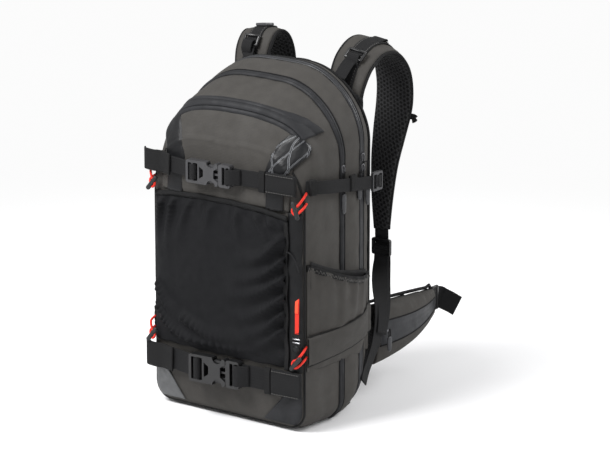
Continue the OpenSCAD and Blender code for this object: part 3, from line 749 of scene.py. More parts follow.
def basePanel():
    low, high = nodeBox("base_panel")
    rows = []
    for r in range(25):
        row = []
        for c in range(41):
            u, v = 2 * c / 40 - 1, 2 * r / 24 - 1
            square = max(abs(u), abs(v))
            pull = 1 - 0.06 * (abs(u) * abs(v)) ** 3
            z = high.z + 0.2 - (high.z - low.z - 0.3) * smoothStep(1.0, 0.86, square)
            y = (low.y + high.y) / 2 + v * (high.y - low.y) / 2 * pull
            row.append(Vector((u * high.x * pull, y, z + 0.25 * ripple(u * 80, v * 50, 0, 20, 5))))
        rows.append(row)
    finishPiece(gridPiece("basePanel", rows, thick=1.0, offset=1), "bag", gloss, ["base_panel"])


basePanel()


def seamTube(name, y, lift, radius, z1=999):  # piping round the whole outline, up to a height
    ring = outlineRing(y, lift)
    rows = []
    for k in range(len(ring) + 1):
        p, n = ring[k % len(ring)], outlineNormal(ring, k % len(ring))
        rows.append([p + n * (radius * math.sin(a)) + Vector((0, radius * math.cos(a), 0)) for a in turns(8)])
    verts = [p for row in rows for p in row]
    faces = [(i * 8 + j, i * 8 + (j + 1) % 8, (i + 1) * 8 + (j + 1) % 8, (i + 1) * 8 + j)
             for i in range(len(rows) - 1) for j in range(8) if ring[i].z < z1]
    uvs = [(j * 0.001, i * 0.005) for i in range(len(rows)) for j in range(8)]
    finishPiece(meshPiece(name, verts, faces, uvs), "bag", binding)


seamTube("frontCornerPiping", frontY - 0.5, 1.0, 1.8, 398)
seamTube("backEdgePiping", rearY + 2.0, 0.6, 2.4)
seamTube("middlePiping", 9.6, 1.2, 1.2)
seamTube("rearPiping", 59.4, 1.2, 1.2)
print("stage: the bag's shells are made")


# ---- the sewn front, as later pieces find it ----
def shellTree(names):  # the shells' quads, ready for a ray
    verts, faces = [], []
    for name in names:
        mesh = bpy.data.objects[name].data
        base = len(verts)
        verts += [v.co / mm for v in mesh.vertices]
        faces += [[base + k for k in p.vertices] for p in mesh.polygons]
    return BVHTree.FromPolygons(verts, faces)


frontTree = shellTree(["frontPanel", "frontGusset"])
frontCache = {}


def frontAt(x, z, soft=10):  # the front surface, with its bends eased
    key = (round(x, 1), round(z, 1), soft)
    if key not in frontCache:
        found = []
        for dx, dz, w in ((0, 0, 2), (soft, 0, 1), (-soft, 0, 1), (0, soft, 1), (0, -soft, 1)):
            start = Vector((max(-141, min(141, x + dx)), -400, z + dz))
            hit = frontTree.ray_cast(start, Vector((0, 1, 0)))[0]
            guess = frontFace(x + dx, z + dz)
            found.append((hit.y if hit and hit.y < guess + 22 else guess, w))
        frontCache[key] = min(sum(y * w for y, w in found) / 6, found[0][0] + 0.4)
    return frontCache[key]


# ---- long zips ----
def zipRing(name, y0, y1, mat, node, lift, flap=0.0):
    # Two bands of film that meet over the coil, each a little crowned.
    stations = [(0, -1.2), (0.04, 0.2), (0.12, 0.9), (0.3, 1.3), (0.44, 1.1), (0.487, 0.5), (0.5, -0.4),
                (0.513, 0.5), (0.56, 1.1), (0.7, 1.3), (0.88, 0.9), (0.96, 0.2), (1, -1.2)]
    rings = [outlineRing(mix(y0, y1, s)) for s, _ in stations]
    count = len(rings[0])
    rows = []
    for k in range(count + 1):
        row = []
        for c, (s, h) in enumerate(stations):
            p, n = rings[c][k % count], outlineNormal(rings[c], k % count)
            wave = 0.35 * ripple(p.x, p.y * 0.2, p.z, 22, 9)
            flapLift = flap * math.exp(-((s - 0.25) / 0.16) ** 2)
            row.append(p + n * (h + lift + wave + flapLift))
        rows.append(row)
    finishPiece(gridPiece(name, rows, thick=0.8), "bag", mat, [node])


zipRing("mainZip", 48.6, 59.2, zipFilm, "main_zip_tape", 0.8)
zipRing("frontZip", -1.6, 9.4, darkZip, "front_zip_tape", 0.8, 1.6)


goggleSet = {"half": 126, "top": 481, "drop": 35, "turn": 1.1, "power": 2.5, "foot": 341}


def goggleArc(count=60):  # the run of the goggle pocket's zip across the front of the dome
    run = []
    for k in range(count + 1):
        u = 2 * k / count - 1
        x = goggleSet["half"] * math.sin(u * goggleSet["turn"]) / math.sin(goggleSet["turn"])
        z = goggleSet["top"] - goggleSet["drop"] * abs(u) ** goggleSet["power"]
        run.append(Vector((x, frontAt(x, z), z)))
    return run


def arcTop(x):  # height of the goggle zip over x
    turn = goggleSet["turn"]
    u = math.asin(max(-1, min(1, x / goggleSet["half"])) * math.sin(turn)) / turn
    return goggleSet["top"] - goggleSet["drop"] * abs(u) ** goggleSet["power"]


def goggleZip():
    run = goggleArc()
    for k in range(2):  # a tape and the welt that covers it
        spread = [(-6, 0.6), (-5, 1.2), (-2, 1.5), (1.6, 1.3), (2, 0.4), (2.4, 1.3), (4.5, 1.4), (6, 1.0),
                  (7, 0)] if k == 0 else [(-13, -0.4), (-12.2, 0.9), (-9.5, 1.5), (-7, 1.2), (-6, 0.4)]
        rows = []
        for i, p in enumerate(run):
            along = run[min(len(run) - 1, i + 1)] - run[max(0, i - 1)]
            along = Vector((along.x, 0, along.z)).normalized()
            rows.append([])
            for d, h in spread:
                x, z = p.x - along.z * d, p.z + along.x * d
                out = Vector((x * 0.002, -1, 0.45)).normalized()
                crumple = 0.5 * ripple(x, 0, z, 11, 6) * k
                rows[-1].append(Vector((x, frontAt(x, z), z)) + out * (h + 2.0 + crumple))
        name = ("goggleZip", "goggleZipWelt")[k]
        finishPiece(gridPiece(name, rows, thick=0.8, offset=1), "bag", darkZip,
                    (["goggle_zip_tape"], [])[k])


goggleZip()


# ---- patches on the front ----
def gogglePanel():
    rows = []
    for r in range(41):
        row = []
        for c in range(71):
            u, v = c / 70, r / 40
            x = mix(-122, 118, u)
            z = mix(goggleSet["foot"], arcTop(x) - 9, v)
            puff = 2.5 * math.sin(math.pi * u) * math.sin(math.pi * v) + 0.8 * ripple(x, 0, z, 30, 12)
            lift = 2.0 * smoothStep(0, 0.08, min(u, 1 - u, v, 1 - v)) + puff
            row.append(Vector((x, frontAt(x, z) - 0.8 - lift, z)))
        rows.append(row)
    finishPiece(gridPiece("gogglePocketPanel", rows, thick=0.9, offset=1), "bag", olive, ())


gogglePanel()


def insertLeft(z):
    return smoothLookup([(342, 80), (366, 77), (396, 74), (414, 80), (437, 90), (452, 105)], z)


def insertRight(z):
    return smoothLookup([(342, 108), (366, 108), (396, 114), (405, 119), (418, 130), (426, 135), (440, 128),
                         (452, 108)], z)


def insert(side):  # quilted film on the right, creased film on the left, with a plain foot under the strap
    rows = []
    for r in range(41):
        z = mix(372, 452, r / 40)
        row = []
        for c in range(21):
            x = mix(insertLeft(z), insertRight(z), c / 20)
            u, v = c / 20, r / 40
            puff = 3.0 * smoothStep(0, 0.15, min(u, 1 - u, v, 1 - v))
            if side < 0:
                puff += 1.3 * ripple(x * 1.4, 0, z * 0.8, 20, 21)
            row.append(Vector((side * x, frontAt(side * x, z, 14) - 3.0 - puff, z)))
        rows.append(row[::side])
    name, mat = ("quiltedInsert", quilted) if side > 0 else ("creasedInsert", gloss)
    finishPiece(gridPiece(name, rows, thick=0.9, offset=1), "bag", mat,
                ["coated_patches"] if side > 0 else ())
    foot = []
    for z in (341, 345, 350, 356, 362, 368, 374):
        row = []
        for c in range(9):
            x = mix(79, 109, c / 8)
            puff = 1.2 * math.sin(math.pi * c / 8)
            row.append(Vector((side * x, frontAt(side * x, z, 14) - 3.4 - puff, z)))
        foot.append(row[::side])
    finishPiece(gridPiece("insertFoot" + tagOf(side), foot, thick=0.9, offset=1), "bag", gloss, ())


for side in (1, -1):
    insert(side)


def cornerPatch(side, mat):
    foot, slope = (70, 0.9) if side > 0 else (84, 0.75)
    rows = []
    for r in range(19):
        z = mix(12, 58, r / 18)
        outer = halfAt(frontY, z) - 1
        inner = foot + (z - 14) * slope
        row = []
        for c in range(13):
            y = frontAt(mix(inner, outer, c / 12), z, 4) - 1.6 - 0.9 * ripple(c * 4, 0, z, 12, 31)
            row.append(Vector((side * mix(min(inner, outer - 3), outer, c / 12), y, z)))
        rows.append(row[::side])
    finishPiece(gridPiece("cornerPatch" + tagOf(side), rows, thick=0.8, offset=1), "bag", mat, ())


cornerPatch(1, darkZip)
cornerPatch(-1, lightPatch)
print("stage: zips and front patches are made")


# ---- stretch pocket ----
# Each fold: start, end, how far its middle sags, half width, height. They fan from the hem and the
# right edge.
pocketFolds = [
    (-120, 334, -128, 250, -6, 7, 4), (-95, 336, -112, 240, -5, 8, 3.5), (-60, 338, -88, 262, -4, 8, 3),
    (-20, 337, -30, 280, 0, 9, 2.4), (25, 336, 40, 270, 4, 9, 2.6), (60, 334, 96, 262, 8, 8, 3.4),
    (84, 332, 114, 276, 6, 7, 4), (112, 300, 40, 262, -12, 9, 4.5), (114, 268, 20, 232, -14, 9, 4.6),
    (114, 240, 10, 204, -12, 10, 4.6), (114, 212, 24, 168, -10, 9, 4.4), (113, 186, 40, 140, -8, 8, 4),
    (112, 160, 56, 122, -4, 7, 3.4), (-132, 190, -60, 140, -12, 10, 4), (-134, 160, -40, 118, -10, 9, 4),
    (-120, 136, -10, 116, -7, 7, 3), (-70, 150, 60, 142, -16, 12, 3.6), (-100, 118, 90, 120, -4, 5, 2.4)]


def bakeFolds(folds):  # points along each fold, with its width and height there
    out = []
    for x0, z0, x1, z1, sag, width, height in folds:
        pts = []
        for k in range(15):
            t = k / 14
            bow = sag * 4 * t * (1 - t)
            high = height * (1 - t) ** 0.7 * smoothStep(0, 0.06, t + 0.05)
            pts.append((mix(x0, x1, t), mix(z0, z1, t) + bow, width * mix(0.55, 1.5, t), high))
        out.append(pts)
    return out


bakedFolds = bakeFolds(pocketFolds)


def foldHeight(x, z):
    total = 0
    for pts in bakedFolds:
        best = 0
        for px, pz, w, h in pts:
            d2 = ((x - px) ** 2 + (z - pz) ** 2) / w**2
            if d2 < 9:
                best = max(best, h * math.exp(-d2))
        total += best
    return total


stretchSet = {"left": -137, "right": 118, "hemTop": 338, "hemLow": 101, "foldGain": 3.4, "bulge": 5}


def stretchPocket():
    cols, rowsN = 110, 110
    rows = []
    for r in range(rowsN + 1):
        v = r / rowsN
        row = []
        for c in range(cols + 1):
            u = c / cols
            x = mix(stretchSet["left"], stretchSet["right"], u)
            hemTop = stretchSet["hemTop"] - 10 * (2 * u - 1) ** 2 + 0.4 * math.sin(x / 9)
            z = mix(stretchSet["hemLow"] + 0.8 * math.sin(x / 6), hemTop, v)
            frill = 3.0 * math.exp(-((1 - u) / 0.07) ** 2) * math.sin(z / 4.6 + 2 * ripple(0, 0, z, 30, 3))
            gather = 2.0 * math.exp(-((1 - v) / 0.12) ** 2) * math.sin(x / 4.2 + 2 * ripple(x, 0, 0, 25, 8))
            gather *= smoothStep(1, 0.95, v)
            seamed = smoothStep(0, 0.03, u) * smoothStep(0, 0.025, v)
            puff = (stretchSet["bulge"] * math.sin(math.pi * min(1, v * 1.02)) ** 0.7
                    * math.sin(math.pi * u) ** 0.6)
            folds = stretchSet["foldGain"] * foldHeight(x, z) * (0.12 + 0.88 * smoothStep(1, 0.94, v))
            h = 3.0 + (puff + folds + 0.9 * ripple(x, 0, z, 14, 14)) * seamed + frill + gather
            row.append(Vector((x, frontAt(x, z) - h, z)))
        rows.append(row)
    finishPiece(gridPiece("stretchPocket", rows, thick=0.8, offset=-1), "bag", stretch, ["stretch_pocket"])
    section = ((0.6, 0), (-1.2, -0.5), (-1.8, 2.5), (-1.4, 6.5), (0.2, 7.5), (1.6, 5.5), (1.6, 1))
    hem = [[p + Vector((0, dy, dz)) for dy, dz in section] for p in rows[-1]]
    finishPiece(closedSweep("pocketTopHem", hem), "bag", binding, ["pocket_binding"])


stretchPocket()


def sideStrip():  # between the stretch pocket and the bag's edge, with its small slit pocket
    rows = []
    for r in range(61):
        z = mix(96, 340, r / 60)
        row = []
        for c in range(11):
            u = c / 10
            x = mix(117, 139.5, u)
            slit = 2.5 * math.exp(-((z - (252 + 18 * u)) / 7) ** 2)
            puff = 3.2 * math.sin(math.pi * u) ** 0.6 + 0.8 * ripple(x, 0, z, 16, 17) + slit
            row.append(Vector((x, frontAt(x, z, 5) - 1.4 - puff, z)))
        rows.append(row)
    finishPiece(gridPiece("sideStrip", rows, thick=0.9, offset=1), "bag", stripFilm, ())
    run = [Vector((x, frontAt(x, z, 5) - 6.6, z))
           for x, z in ((118, 282), (126, 278), (133, 268), (137, 252))]
    tube("slitLip", run, 1.6, "bag", gloss)
    edge = [Vector((117 + 1.2 * math.sin(z / 9), frontAt(117, z) - 6.2, z)) for z in range(98, 334, 12)]
    webbing("pocketEdgeTape", edge, (1, 0, 0), 7, 2.2, "bag", binding, steps=3)


sideStrip()
print("stage: stretch pocket is made")


# ---- front straps ----
strapSet = {"lean": math.radians(4), "webThick": 1.9}
# Each clip's centre, webbing width, length and thickness.
clipPlaces = {"upper": (Vector((-15, frontY - 27, bag["strapZ"])), 25, 80, 11),
              "lower": (Vector((-8, frontY - 24, bag["lowerZ"])), 34, 92, 13)}


def onClip(which, x, y, z):  # a point in a clip's own frame
    c = clipPlaces[which][0]
    a = strapSet["lean"]
    return c + Vector((x * math.cos(a) - y * math.sin(a), x * math.sin(a) + y * math.cos(a), z))


def frontStrap(which):
    centre, width, length, thick = clipPlaces[which]
    z, t = centre.z, strapSet["webThick"]
    up = (0, 0, 1)
    # Anchor side: from the socket's bars along the front to the left edge.
    run = [onClip(which, -0.47 * length, 2.5, 0), (-75, centre.y + 6, z), (-105, centre.y + 10, z + 0.5),
           (-130, frontY - 9.5, z), (-146, frontY - 7.5, z - 0.5), (-153, frontY - 2, z - 1)]
    webbing(which + "AnchorWebbing", run, up, width, t, "bag", web,
            replaces=["anchor_webbing"] if which == "upper" else [])
    # The turn of webbing that goes round the socket's bars.
    s = -0.35 * length
    outside = -thick / 2 - 1.2
    over = [onClip(which, s + dx, y, 0)
            for dx, y in ((-14, 3.6), (-6, -1.5), (-3, outside), (3, outside), (5, -2), (2, 3))]
    webbing(which + "AnchorTurn", over, up, width - 1.5, t, "bag", web, steps=4)
    # Left keeper and the folded end that stands off it.
    flap = [(-96, centre.y + 5, z), (-118, frontY - 14, z + 0.5), (-134, frontY - 13.5, z - 0.5),
            (-150, frontY - 12, z), (-156, frontY - 6, z)]
    webbing(which + "LeftKeeper", flap, up, width + (8 if which == "upper" else 5), 2.6, "bag", binding)
    # Tongue side.
    run = [onClip(which, 0.44 * length, 2.5, 0), onClip(which, 0.6 * length, 4, 0),
           onClip(which, 78, 3.2, 0.4), onClip(which, 104, 2.4, -0.4), onClip(which, 122, 2.4, 0)]
    webbing(which + "TongueWebbing", run, up, width, t, which + "_clip", web,
            replaces=[which + "_tongue_webbing"])
    s = 0.42 * length
    outside = -thick / 2 - 1.0
    over = [onClip(which, s + dx, y, 0)
            for dx, y in ((20, 2.2), (6, outside), (-2, outside), (-5, -1), (-2, 3.2))]
    webbing(which + "TongueTurn", over, up, width - 1.5, t, which + "_clip", web, steps=4)
    # Elastic keeper and end sleeve at the right, each an oval loop.
    for k, (x0, x1, extra) in enumerate(((88, 98, 5), (100, 152, 4))):
        rows = []
        for i in range(15):
            x = mix(x0, x1, i / 14)
            halfW = width / 2 + extra * 0.8 + (0.8 * math.sin(x * 0.5) if k else 0)
            halfT = 3.6 if k == 0 else 3.2 - 1.0 * (i / 14)
            row = []
            for a in turns(20):
                c, sn = math.cos(a), math.sin(a)
                bow = 1.2 * ripple(x, 0, sn * 20, 14, 33 + k)
                row.append(onClip(which, x, 0.6 + halfT * bent(c, 0.6) + bow * 0.5, halfW * bent(sn, 0.5)))
            rows.append(row)
        first = which == "upper" and k == 1
        finishPiece(closedSweep(which + ("Keeper", "EndSleeve")[k], rows), "bag", (binding, web)[k],
                    ["strap_sleeves"] if first else [])
    for end, sign in (("Top", 1), ("Low", -1)):
        edge = [onClip(which, x, -3.4, sign * (width / 2 + 0.6)) for x in range(103, 150, 3)]
        stitchRow(which + "SleeveStitch" + end, edge, [(0, -1, 0)] * len(edge), "bag", thread)


for which in ("upper", "lower"):
    frontStrap(which)
    mat = gunPlastic if which == "upper" else blackPlastic
    for part in ("_socket", "_tongue", "_prong_top", "_prong_low"):
        dressNode(which + part, mat)
print("stage: front straps are made")


# ---- gear loops, toggles and pull tab ----
loopSpots = {"upper_right": ((135, frontY - 6, 361), 1), "upper_left": ((-137, frontY - 5, 361), -1),
             "lower_right": ((135, frontY - 6, 126), 1), "lower_left": ((-140, frontY - 5, 122), -1)}
for k, (name, (spot, side)) in enumerate(loopSpots.items()):
    p = Vector(spot)
    t = p + Vector((0, -9.5, -14))
    run = [p + Vector((7 * side, 9, 10)), p + Vector((8.5 * side, -1, 4)), t + Vector((2 * side, 3, 7)),
           t + Vector((-4.5 * side, 1, 3)), t + Vector((-5 * side, 0, -3)), t + Vector((1 * side, 1, -6)),
           p + Vector((9 * side, -2, -11)), p + Vector((7 * side, 9, -6))]
    tube("gearLoop_" + name, run, 1.9, "bag", redCord, replaces=["gear_loops"] if k == 0 else [])
    dressNode("toggle_" + name, toggleRubber)


def pullTab():
    low, high = nodeBox("pull_tab")
    x, y = (low.x + high.x) / 2, low.y
    run = [(x - 1, y + 3, high.z + 3), (x, y + 0.8, high.z - 4), (x + 0.5, y - 0.5, high.z - 26),
           (x, y, high.z - 52)]
    webbing("pullTab", run, (1, 0.1, 0), 6.2, 1.8, "bag", redCord, replaces=["pull_tab"])
    tip = [(x - 1, y + 1.6, high.z + 1), (x, y - 0.6, high.z - 6), (x + 0.3, y - 1.8, high.z - 20)]
    webbing("pullTabTip", tip, (1, 0.1, 0), 5.0, 1.4, "bag", orangeTab)
    ribs = [(x + 0.4 * math.sin(i), y + 1.2 * math.sin(i * 1.6), mix(high.z - 50, low.z, i / 9))
            for i in range(10)]
    webbing("tabLadder", ribs, (1, 0.1, 0), 11, 2.6, "bag", web)
    for k, z in enumerate((low.z + 10, low.z + 15.5)):
        tube(f"tabSlider{k}", [(x - 6.5, y - 1.8, z), (x, y - 2.6, z), (x + 6.5, y - 1.8, z)], 1.2, "bag",
             brightMetal)
    bead = []
    for i in range(13):
        a = math.pi * i / 12
        r = 0.2 + 5.2 * math.sin(a) ** 0.8
        z = low.z - 5 * math.cos(a)
        bead.append([Vector((x - 0.5 + r * math.cos(b), y - 0.5 + r * 0.62 * math.sin(b), z))
                     for b in turns(20)])
    finishPiece(closedSweep("tabBead", bead), "bag", gloss, ())


pullTab()


# ---- sides ----
pocketSet = {"y0": -74, "y1": 66, "low": 96, "mouthFront": 258, "mouthRear": 216, "standOff": 24}


def mouthHeight(y):
    s = (y - pocketSet["y0"]) / (pocketSet["y1"] - pocketSet["y0"])
    return mix(pocketSet["mouthFront"], pocketSet["mouthRear"], s) - 7 * math.sin(math.pi * min(1, max(0, s)))


def inPocket(y):
    return min(pocketSet["y1"], max(pocketSet["y0"], y))


def pocketSurface(y, s, extra=0.0):  # s runs from the pocket's foot to its mouth
    span = (y - pocketSet["y0"]) / (pocketSet["y1"] - pocketSet["y0"])
    z = mix(pocketSet["low"], mouthHeight(y), s)
    bow = max(0, 1 - abs(2 * span - 1) ** 2.2)
    stand = pocketSet["standOff"] * bow * math.sin(math.pi / 2 * s) ** 0.8
    return z, halfAt(y, z) + 2.0 + stand + extra


def sidePocket(side):
    tag = tagOf(side)
    rows = []
    for r in range(61):
        s = r / 60
        row = []
        for c in range(71):
            y = mix(pocketSet["y0"] - 3, pocketSet["y1"] + 8, c / 70)
            pleat = 2.6 * s**2 * math.sin(y / 4.2 + 1.5 * ripple(y, 0, 0, 20, 41))
            crumple = (4.2 * ripple(y * 0.8, y * 0.3 + s * 60, s * 90, 24, 42 + side)
                       * math.sin(math.pi * min(1, s + 0.2)))
            seam = smoothStep(0, 0.06, c / 70) * smoothStep(1, 0.94, c / 70)
            z, x = pocketSurface(inPocket(y), s, (pleat + crumple) * seam)
            row.append(Vector((side * x, y, z)))
        rows.append(row[::side])
    finishPiece(gridPiece("sidePocket" + tag, rows, thick=1.0), "bag", oliveSide,
                ["side_pockets"] if side > 0 else [])
    hem = []
    for c in range(71):
        y = mix(pocketSet["y0"] - 3, pocketSet["y1"] + 8, c / 70)
        z, x = pocketSurface(inPocket(y), 1.0)
        wave = 0.7 * math.sin(y / 3.6 + 1.5 * ripple(y, 0, 0, 20, 41))
        hem.append([Vector((side * (x + wave + dx), y, z + dz)) for dx, dz in
                    ((1.2, -7), (2, -4), (1.9, 0), (1, 3), (-0.6, 3.2), (-1.8, 1), (-2, -4), (-1.2, -7))])
    finishPiece(closedSweep("pocketHem" + tag, hem), "bag", binding, ())
    zig = [Vector((side * (row[1].x * side + 0.9), row[1].y, row[1].z + (2.4 if i % 2 else -1.6)))
           for i, row in enumerate(hem)]
    stitchRow("hemZigzag" + tag, zig, [(side, 0, 0)] * len(zig), "bag", thread, length=3.4, gap=0.4)
    inner = []
    for r in range(9):
        row = []
        for c in range(31):
            y = mix(pocketSet["y0"] + 2, pocketSet["y1"] - 2, c / 30)
            z = mouthHeight(y) + 9 - 42 * (1 - r / 8)
            row.append(Vector((side * (halfAt(y, z) + 4.8), y, z)))
        inner.append(row[::side])
    finishPiece(gridPiece("pocketLining" + tag, inner, thick=0.6), "bag", lining, ())


def sideBand(side):
    tag = tagOf(side)
    rows = []
    for r in range(15):
        d = mix(-23, 23, r / 14)
        row = []
        for c in range(71):
            y = mix(pocketSet["y0"] - 4, pocketSet["y1"] + 8, c / 70)
            z = 128 + 18 * (y - pocketSet["y0"]) / 140 + d
            s = max(0, (z - pocketSet["low"]) / (mouthHeight(inPocket(y)) - pocketSet["low"]))
            x = pocketSurface(inPocket(y), s)[1]
            edge = smoothStep(0, 0.08, r / 14) * smoothStep(1, 0.92, r / 14)
            lift = 2.0 + 3.2 * edge + 0.9 * ripple(y * 0.5, 0, z * 2.2, 12, 51)
            row.append(Vector((side * (x + lift), y, z)))
        rows.append(row[::side])
    finishPiece(gridPiece("sideBand" + tag, rows, thick=1.2), "bag", oliveBand,
                ["side_bands"] if side > 0 else [])
    for k in (0, -1):  # dark tubes along both edges of the band: painted shade lines for the shading at its edges
        tube(f"bandEdge{tag}{k + 1}", rows[k][::5], 0.9, "bag", binding, steps=3, sidesN=6)


def compressionStrap(side):
    tag = tagOf(side)
    x = hw + 9.7
    run = [(side * (hw - 6), frontY + 3, 379), (side * (hw + 2), -66, 378), (side * (x - 1), -42, 375),
           (side * x, -5, 370), (side * x, 36, 363.5), (side * x, 63, 360.5), (side * (x - 0.5), 70, 360)]
    webbing("compressionStrap" + tag, run, (0, -0.05, 1), 20, 1.9, "bag", web,
            replaces=["compression_straps"] if side > 0 else [])
    for k, y in enumerate((-74, 12)):
        loop = []
        for i in range(7):
            yy = y + i * (2.2 if k else 1.4)
            xx = x if k else hw + 0.5 + i * 0.5
            zz = 369 if k else 378.5
            loop.append([Vector((side * (xx + 3.0 * bent(math.cos(a), 0.5)), yy,
                                 zz + 12.5 * bent(math.sin(a), 0.5))) for a in turns(16)])
        finishPiece(closedSweep(f"strapKeeper{tag}{k}", loop), "bag", binding, ())
    tail = [(side * x, 74, 360), (side * (x + 3.4), 80, 360), (side * (x + 1), 88, 359),
            (side * (x - 5), 88, 358), (side * (x - 9), 83, 358)]
    webbing("ladderTurn" + tag, tail, (0, 0, 1), 18, 1.8, "bag", web, steps=4)


for side in (1, -1):
    sidePocket(side)
    sideBand(side)
    compressionStrap(side)
dressNode("compression_ladders", gunPlastic)
print("stage: sides are made")


# ---- zip sliders and pullers: cord, grip and loop ----
def pullerPiece(name, node, body, top, length, grip, out):  # out is the way it stands off the cloth
    top, out = Vector(top), Vector(out)
    across = Vector((0, 0, 1)).cross(out).normalized()
    for s in (-1, 1):
        run = [top + across * (s * 1.0), top + across * (s * 2.0) + out * 0.6 - Vector((0, 0, length * 0.5)),
               top + across * (s * 1.4) - Vector((0, 0, length + 3))]
        tube(f"{name}Cord{'A' if s < 0 else 'B'}", run, 0.85, body, web,
             replaces=[node] if s < 0 else [])
    rows = []
    for i in range(17):
        t = i / 16
        w = 4.2 + 1.9 * math.sin(math.pi * min(1, t * 1.25)) - 1.2 * math.exp(-((t - 0.45) / 0.16) ** 2)
        w *= smoothStep(0, 0.08, t + 0.04) * smoothStep(1.04, 0.9, t)
        d = 2.6 * smoothStep(0, 0.1, t + 0.05) * smoothStep(1.05, 0.9, t) * (1 - 0.25 * (i % 2))
        centre = top - Vector((0, 0, length + grip * t)) + out * 0.3
        rows.append([centre + across * (w * math.cos(a)) + out * (d * math.sin(a)) for a in turns(18)])
    finishPiece(closedSweep(name + "Grip", rows), body, pullerRubber, ())


def sliderPiece(name, node, body):
    low, high = nodeBox(node)
    x0, yMid = low.x, (low.y + high.y) / 2
    rows = []
    for i in range(15):
        t = i / 14
        z = mix(low.z, high.z, t)
        w = mix(3.4, 4.6, smoothStep(0.2, 1, t)) * smoothStep(-0.15, 0.12, t) * smoothStep(1.12, 0.92, t)
        rows.append([Vector((x0 + 1.6 + 1.5 * math.sin(a), yMid + w * bent(math.cos(a), 0.6), z))
                     for a in turns(16)])
    finishPiece(closedSweep(name, rows), body, sliderMetal, [node])
    bridge = [(x0 + 2.6, yMid, low.z + 1), (x0 + 4.6, yMid, low.z + 3), (x0 + 4.6, yMid, high.z - 4),
              (x0 + 2.6, yMid, high.z - 2)]
    tube(name + "Bridge", bridge, 0.9, body, sliderMetal)


def zipHardware():
    for name, node, body in (("mainUpperSlider", "main_upper_slider", "main_upper_slider"),
                             ("mainLowerSlider", "main_lower_slider", "main_lower_slider"),
                             ("frontSlider", "front_zip_slider", "front_slider")):
        sliderPiece(name, node, body)
    for name, node, body, grip in (("mainUpperPuller", "main_upper_puller", "main_upper_puller", 30),
                                   ("mainLowerPuller", "main_lower_puller", "main_lower_puller", 26),
                                   ("frontPuller", "front_zip_puller", "front_puller", 32)):
        low, high = nodeBox(node)
        gripY = low.y + 5 if body != "main_upper_puller" else high.y - 5
        top = Vector(((low.x + high.x) / 2 + 1.2, gripY, high.z))
        pullerPiece(name, node, body, top, high.z - low.z - grip, grip, (1, 0, 0))
        if body != "front_puller":  # the short bar that joins the cord to its slider's bridge
            bridgeY = 54
            bar = [(low.x + 2.6, bridgeY, high.z - 1), (low.x + 3, (bridgeY + gripY) / 2, high.z + 0.4),
                   (low.x + 2.2, gripY, high.z - 1.5)]
            tube(name + "Bar", bar, 0.9, body, web)
    low, high = nodeBox("goggle_zip_puller")
    top = Vector(((low.x + high.x) / 2, low.y + 1.4, high.z))
    pullerPiece("gogglePuller", "goggle_zip_puller", "goggle_puller", top, 12, 22, (0, -1, 0))


zipHardware()
print("stage: zip hardware is made")


# ---- padding ----
padSet = {"pressure": 4.0, "voxel": 0.005, "frames": 20, "cap": 0.004}


def inflate(obj, cap=None):  # fills a pad by a short cloth run, then fixes the result
    cap = padSet["cap"] if cap is None else cap
    bpy.context.view_layer.objects.active = obj
    remesh = obj.modifiers.new("remesh", "REMESH")
    remesh.mode, remesh.voxel_size = "VOXEL", padSet["voxel"]
    bpy.ops.object.modifier_apply(modifier="remesh")
    before = [v.co.copy() for v in obj.data.vertices]
    cloth = obj.modifiers.new("cloth", "CLOTH")
    cloth.settings.use_pressure = True
    cloth.settings.uniform_pressure_force = padSet["pressure"]
    cloth.settings.effector_weights.gravity = 0
    for k in range(1, padSet["frames"] + 1):
        bpy.context.scene.frame_set(k)
    bpy.ops.object.modifier_apply(modifier="cloth")
    bpy.context.scene.frame_set(1)
    for v, old in zip(obj.data.vertices, before):
        move = v.co - old
        if move.length > cap:
            v.co = old + move.normalized() * cap
    return obj


def flatUv(obj, a=0, b=2):
    mesh = obj.data
    layer = mesh.uv_layers.get("cloth") or mesh.uv_layers.new(name="cloth")
    for loop in mesh.loops:
        co = mesh.vertices[loop.vertex_index].co
        layer.data[loop.index].uv = (co[a], co[b])


def padBlock(name, cx, cz, w, h, t, corner, tilt, mat, groove, replaces=()):
    base = rearY + 3.9
    verts = []
    nu, nv = 36, 36
    ca, sa = math.cos(math.radians(tilt)), math.sin(math.radians(tilt))

    def place(u, v, y):  # square to a rounded rectangle
        m = max(abs(u), abs(v), 1e-6)
        r = max(m, math.hypot(u, v))
        k = mix(1, m / r, min(1, 2 * corner / min(w, h)) * m**4 * (abs(u * v) / m**2))
        x, z = u * w / 2 * k, v * h / 2 * k
        return Vector((cx + x * ca + z * sa, y, cz - x * sa + z * ca))

    for r in range(nv + 1):
        for c in range(nu + 1):
            u, v = 2 * c / nu - 1, 2 * r / nv - 1
            edge = (1 - abs(u) ** 5) * (1 - abs(v) ** 5)
            top = t * (0.28 + 0.72 * edge**0.5) - groove(u, v) * t * 0.38 * edge
            top += 0.7 * ripple(u * w / 2 + cx, 0, v * h / 2 + cz, 16, 61) * edge
            verts.append(place(u, v, base + top))
    n = nu + 1
    faces = [(r * n + c, (r + 1) * n + c, (r + 1) * n + c + 1, r * n + c + 1)
             for r in range(nv) for c in range(nu)]
    rim = (list(range(n)) + [r * n + nu for r in range(1, n)]
           + [nv * n + c for c in range(nu - 1, -1, -1)] + [r * n for r in range(nv - 1, 0, -1)])
    start = len(verts)
    for k in rim:
        verts.append(Vector((verts[k].x, base + 0.3, verts[k].z)))
    m = len(rim)
    faces += [(rim[k], rim[(k + 1) % m], start + (k + 1) % m, start + k) for k in range(m)]
    faces.append(tuple(start + k for k in reversed(range(m))))
    obj = meshPiece(name, verts, faces, [(p.x * mm, p.z * mm) for p in verts])
    inflate(obj)
    flatUv(obj)
    return finishPiece(obj, "bag", mat, replaces)


